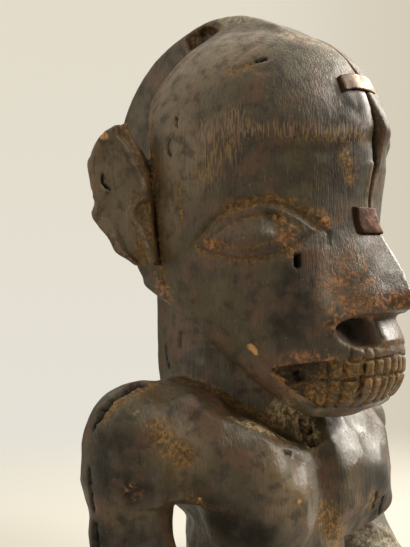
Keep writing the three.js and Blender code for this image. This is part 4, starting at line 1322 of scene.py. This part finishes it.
# From the wood outwards, each: its colours, how well it covers, and where it lies
WOOD_LAYERS = {
    "reddish oil": ("543722", 0.8, ("patch", 0.48, 0.62)),
    "greenish oil": ("4d432a", 0.7, ("patch", 0.46, 0.32)),
    "resin": ("20180c", 0.7, ("stain", 0.50, 0.66)),
    # Painted light: a lighter skin along its bands, broken up by the stain pattern.
    "painted_light": ("68573f", 1, ("painted_light",), ("stain", 0.66, 0.45, 0.2, 0.85)),
    "grain": ("1a140c", 0.45, ("streak", 0.54, 0.68)),
    "scratches": ("857058", 0.25, ("scratch", 0.60, 0.72)),
    # Painted shade: near black along its bands, broken up by patches.
    "painted shade": ("150f06", 0.85, ("painted_shade",), ("patch", 0.60, 0.45, 0.55, 1)),
    "worn edges": ("7e6248", 0.5, ("edge", 0.3, 0.9), ("crumb", 0.42, 0.60)),
    "scraped": (("835e44", "7d6638", ("patch", 0.45, 0.55)), 0.7, ("scraped",), ("torn", 0.86, 0.98)),
    # Grey weathered wood on the far arm; on the tops of crest and dome the same grey is a painted sheen.
    "weathered_and_sheen": (("6f6552", "a59a86", ("fine", 0.4, 0.6)), 1,
                  ("weathered_and_sheen",), ("crumb", 0.36, 0.56, 0.15, 0.95)),
    "ochre earth": (("4b350f", "8a6531", ("fine", 0.42, 0.62)), 0.85, ("earth",), ("crumb", 0.31, 0.54)),
    "bare wood": (("54371d", "a46c40", ("fine", 0.4, 0.6)), 0.75, ("rust",), ("crumb", 0.46, 0.54)),
    "dust": (("77603c", "b5a27c", ("fine", 0.4, 0.6)), 0.9, ("dust",), ("crumb", 0.44, 0.56)),
    # Painted shade in the crack, the nostrils, the mouth and the cracks among the marks.
    "crack shade": ("0d0906", 0.93, ("sunk",)),
    "broken wood": (("2c1e0b", "6b4f26", ("crumb", 0.4, 0.62)), 0.9, ("raw",)),
    "fresh chips": ("c4935c", 1, ("fresh",), ("fine", 0.3, 0.5, 0.35, 1)),
    "grit": ("a89474", 0.6, ("grit", 0.72, 0.78)),
}
# Roughness comes from these
DULL_LAYERS = ("ochre earth", "weathered_and_sheen", "dust", "painted shade", "crack shade")


# %% Wood
def oiled_wood():
    """The layers' colour; rougher under dirt and painted shade, smoother where polished; a bump of crust and
    grain.
    """
    material, tree, surface = new_material("oiled_hardwood")
    values = patterns(tree, WOOD_PATTERNS)
    for name in KEPT:
        values[name] = add(tree, "Attribute", {"attribute_name": name}).outputs["Fac"]
    values["torn"] = weighted_sum(tree, 0.0, (values["scratch"], 1.2), (values["streak"], 0.6))
    colour, shares = layered(tree, values, OILED_WOOD, WOOD_LAYERS)
    dull = largest(tree, *[shares[name] for name in DULL_LAYERS])
    roughness = weighted_sum(
        tree, share(tree, values, ("stain", 0.35, 0.65, 0.42, 0.60)), (dull, 0.35), (values["polish"], -0.22)
    )
    values["crust"] = weighted_sum(
        tree, 0.0, (values["fine"], 0.3), (values["streak"], 0.7), (values["scratch"], 0.25),
        (share(tree, values, ("rust",), ("crumb",)), 1.2), (shares["bare wood"], -0.4),
    )
    height = share(tree, values, ("crust",), ("polish", 0, 1, 1, 0.5))
    bumps = add(tree, "Bump", None, Strength=0.6, Distance=0.0007, Height=height).outputs[0]
    tree.links.new(colour, surface.inputs["Base Color"])
    tree.links.new(roughness, surface.inputs["Roughness"])
    tree.links.new(bumps, surface.inputs["Normal"])
    print(f"{material.name}: {len(tree.nodes)} nodes")
    return material


bust.data.materials.append(oiled_wood())

# %% [markdown]
# ### The strips' metal
# Sheet copper that has dulled: warm and half bright where it is rubbed, brown in its dips. The
# lower strip has tarnished to a dark reddish brown. Both strips are darker towards their left end.

# %% Metal
SHEET_PATTERNS = {"patch": (3.5, 4, 0.55, 0, 1), "beaten": (1.2, 3, 0.55, 0, 1)}
LEFT_END = {"left end": ("2a2015", 0.95, ("across", -0.004, -0.010))}


def dulled_sheet(name, bright, dark, roughness):
    """Sheet metal, browner and rougher in its dips and darker at its left end."""
    material, tree, surface = new_material(name)
    values = patterns(tree, SHEET_PATTERNS)
    values["across"] = add(tree, "SeparateXYZ", None, Vector=values["place"]).outputs[0]
    colour, _ = layered(tree, values, (dark, bright, ("patch", 0.4, 0.62)), LEFT_END)
    tree.links.new(colour, surface.inputs["Base Color"])
    rough_dips = share(tree, values, ("patch", 0.3, 0.7, roughness + 0.15, roughness))
    tree.links.new(rough_dips, surface.inputs["Roughness"])
    bumps = add(tree, "Bump", None, Strength=0.3, Distance=0.0004, Height=values["beaten"])
    tree.links.new(bumps.outputs[0], surface.inputs["Normal"])
    surface.inputs["Metallic"].default_value = 1.0
    return material


crown.data.materials.append(dulled_sheet("dulled_copper", "93705a", "5a4230", 0.38))
brow.data.materials.append(dulled_sheet("tarnished_copper", "4a352b", "33251e", 0.45))

# %% [markdown]
# ## Floor and light
# The floor is pale and melts away at its rim, so that no horizon crosses the picture. An oiled skin
# shows its form by highlights, so each window stands where the real one is mirrored: a high one for
# the forehead, a low one for the near breast and the lip, and one to the side for the far breast.
# The rest of the room is a few soft patches of brightness, dim on the camera's side, which keeps
# the near cheek dark.

# %% Floor
FLOOR_RADIUS = 1.6
MELTING = ("away", 0.14, 0.55)


def pale_floor():
    """Rings of points on a flat disc, which turns clear from a distance on."""
    around, rings = 64, 12
    angle = np.linspace(0, 2 * np.pi, around, endpoint=False)
    radius = np.linspace(0.01, 1, rings)[:, None] * FLOOR_RADIUS / MM
    ring = np.stack([radius * np.cos(angle), radius * np.sin(angle), 0 * radius * angle - 0.05], -1)
    floor = new_mesh("floor", ring.reshape(-1, 3), ring_quads(rings, around)[:, ::-1])
    material, tree, surface = new_material("pale_floor")
    place = add(tree, "TexCoord").outputs["Object"]
    away = add(tree, "VectorMath", {"operation": "LENGTH"}, i0=place).outputs["Value"]
    surface.inputs["Base Color"].default_value = linear("b2b0aa")
    surface.inputs["Roughness"].default_value = 0.9
    clear = add(tree, "BsdfTransparent").outputs[0]
    melted = share(tree, {"away": away}, MELTING)
    mixed = add(tree, "MixShader", None, i0=melted, i1=surface.outputs[0], i2=clear).outputs[0]
    tree.links.new(mixed, tree.nodes["Material Output"].inputs["Surface"])
    floor.data.materials.append(material)
    return floor


pale_floor()

# %% Windows
# Each: the way to it from the head, its side in metres and its power in watts
WINDOWS = {
    "high_window": ((0.08, -0.69, 0.70), 0.30, 4.6),
    "low_window": ((0.63, -0.63, 0.44), 0.34, 8.5),
    "side_window": ((0.77, -0.30, 0.57), 0.36, 8),
}
WINDOW_DISTANCE = 1.0
HEAD_MIDDLE = Vector((0, 0, 0.12))


def soft_window(name, direction, size, power):
    """A square soft light that looks at the figure's head."""
    data = bpy.data.lights.new(name, "AREA")
    data.size, data.energy, data.color = size, power, linear("fff9ee")[:3]
    lamp = bpy.data.objects.new(name, data)
    bpy.context.scene.collection.objects.link(lamp)
    towards = Vector(direction).normalized()
    lamp.location = HEAD_MIDDLE + towards * WINDOW_DISTANCE
    lamp.rotation_mode = "QUATERNION"
    lamp.rotation_quaternion = towards.to_track_quat("Z", "Y")
    print(f"{name}: {power} W")


for name, window in WINDOWS.items():
    soft_window(name, *window)

# %% Room
# Each patch of the room: the way to it from the figure, and how bright its middle is
ROOM = (
    ((0.60, 0.35, 0.75), 2.4), ((-0.60, 0.80, 0.15), 1.8), ((1.0, -0.15, 0.15), 1.2),
    ((-0.1, 0.1, 1.0), 1.2), ((-0.95, -0.40, 0.10), 0.9), ((-0.5, 0.5, 0.7), 0.8),
    ((0.45, -0.55, 0.70), 0.8), ((-1.0, 0.0, 0.15), 0.4), ((0, 0, -1.0), 0.5),
)
PATCH_SHARPNESS = 7
WALL = ("e6e2d8", "e3dccb", ("height", -0.25, 0.25))
WALL_SHADE = {"right side": ("d5ccb9", 1, ("aside", 0.02, 0.18))}


def facing(tree, heading, direction):
    """The cosine between where a ray heads and a fixed direction."""
    towards = tuple(Vector(direction).normalized())
    return add(tree, "VectorMath", {"operation": "DOT_PRODUCT"}, i0=heading, i1=towards).outputs["Value"]


def room_light(tree, heading):
    """The brightness of the room by direction: for each patch, strength times cosine^7."""
    lobes = []
    for direction, strength in ROOM:
        in_front = largest(tree, facing(tree, heading, direction))
        lobe = add(tree, "Math", {"operation": "POWER"}, i0=in_front, i1=PATCH_SHARPNESS).outputs[0]
        lobes.append((lobe, strength))
    return weighted_sum(tree, 0.0, *lobes)


world = bpy.data.worlds.new("room")
bpy.context.scene.world = world
world.use_nodes = True
sky = world.node_tree
sky.nodes.clear()
heading = add(sky, "TexCoord").outputs["Generated"]
lit = add(sky, "Background", None, Color=linear("f5eedd"), Strength=room_light(sky, heading)).outputs[0]
seen_values = {
    "height": add(sky, "SeparateXYZ", None, Vector=heading).outputs[2],
    "aside": facing(sky, heading, picture_right),
}
wall, _ = layered(sky, seen_values, WALL, WALL_SHADE)
seen = add(sky, "Background", None, Color=wall, Strength=1.0).outputs[0]
straight = add(sky, "LightPath").outputs["Is Camera Ray"]
either = add(sky, "MixShader", None, i0=straight, i1=lit, i2=seen).outputs[0]
sky.links.new(either, add(sky, "OutputWorld").inputs["Surface"])
bpy.context.scene.view_settings.view_transform = "Standard"
print(f"room: {len(ROOM)} patches, {len(sky.nodes)} nodes")
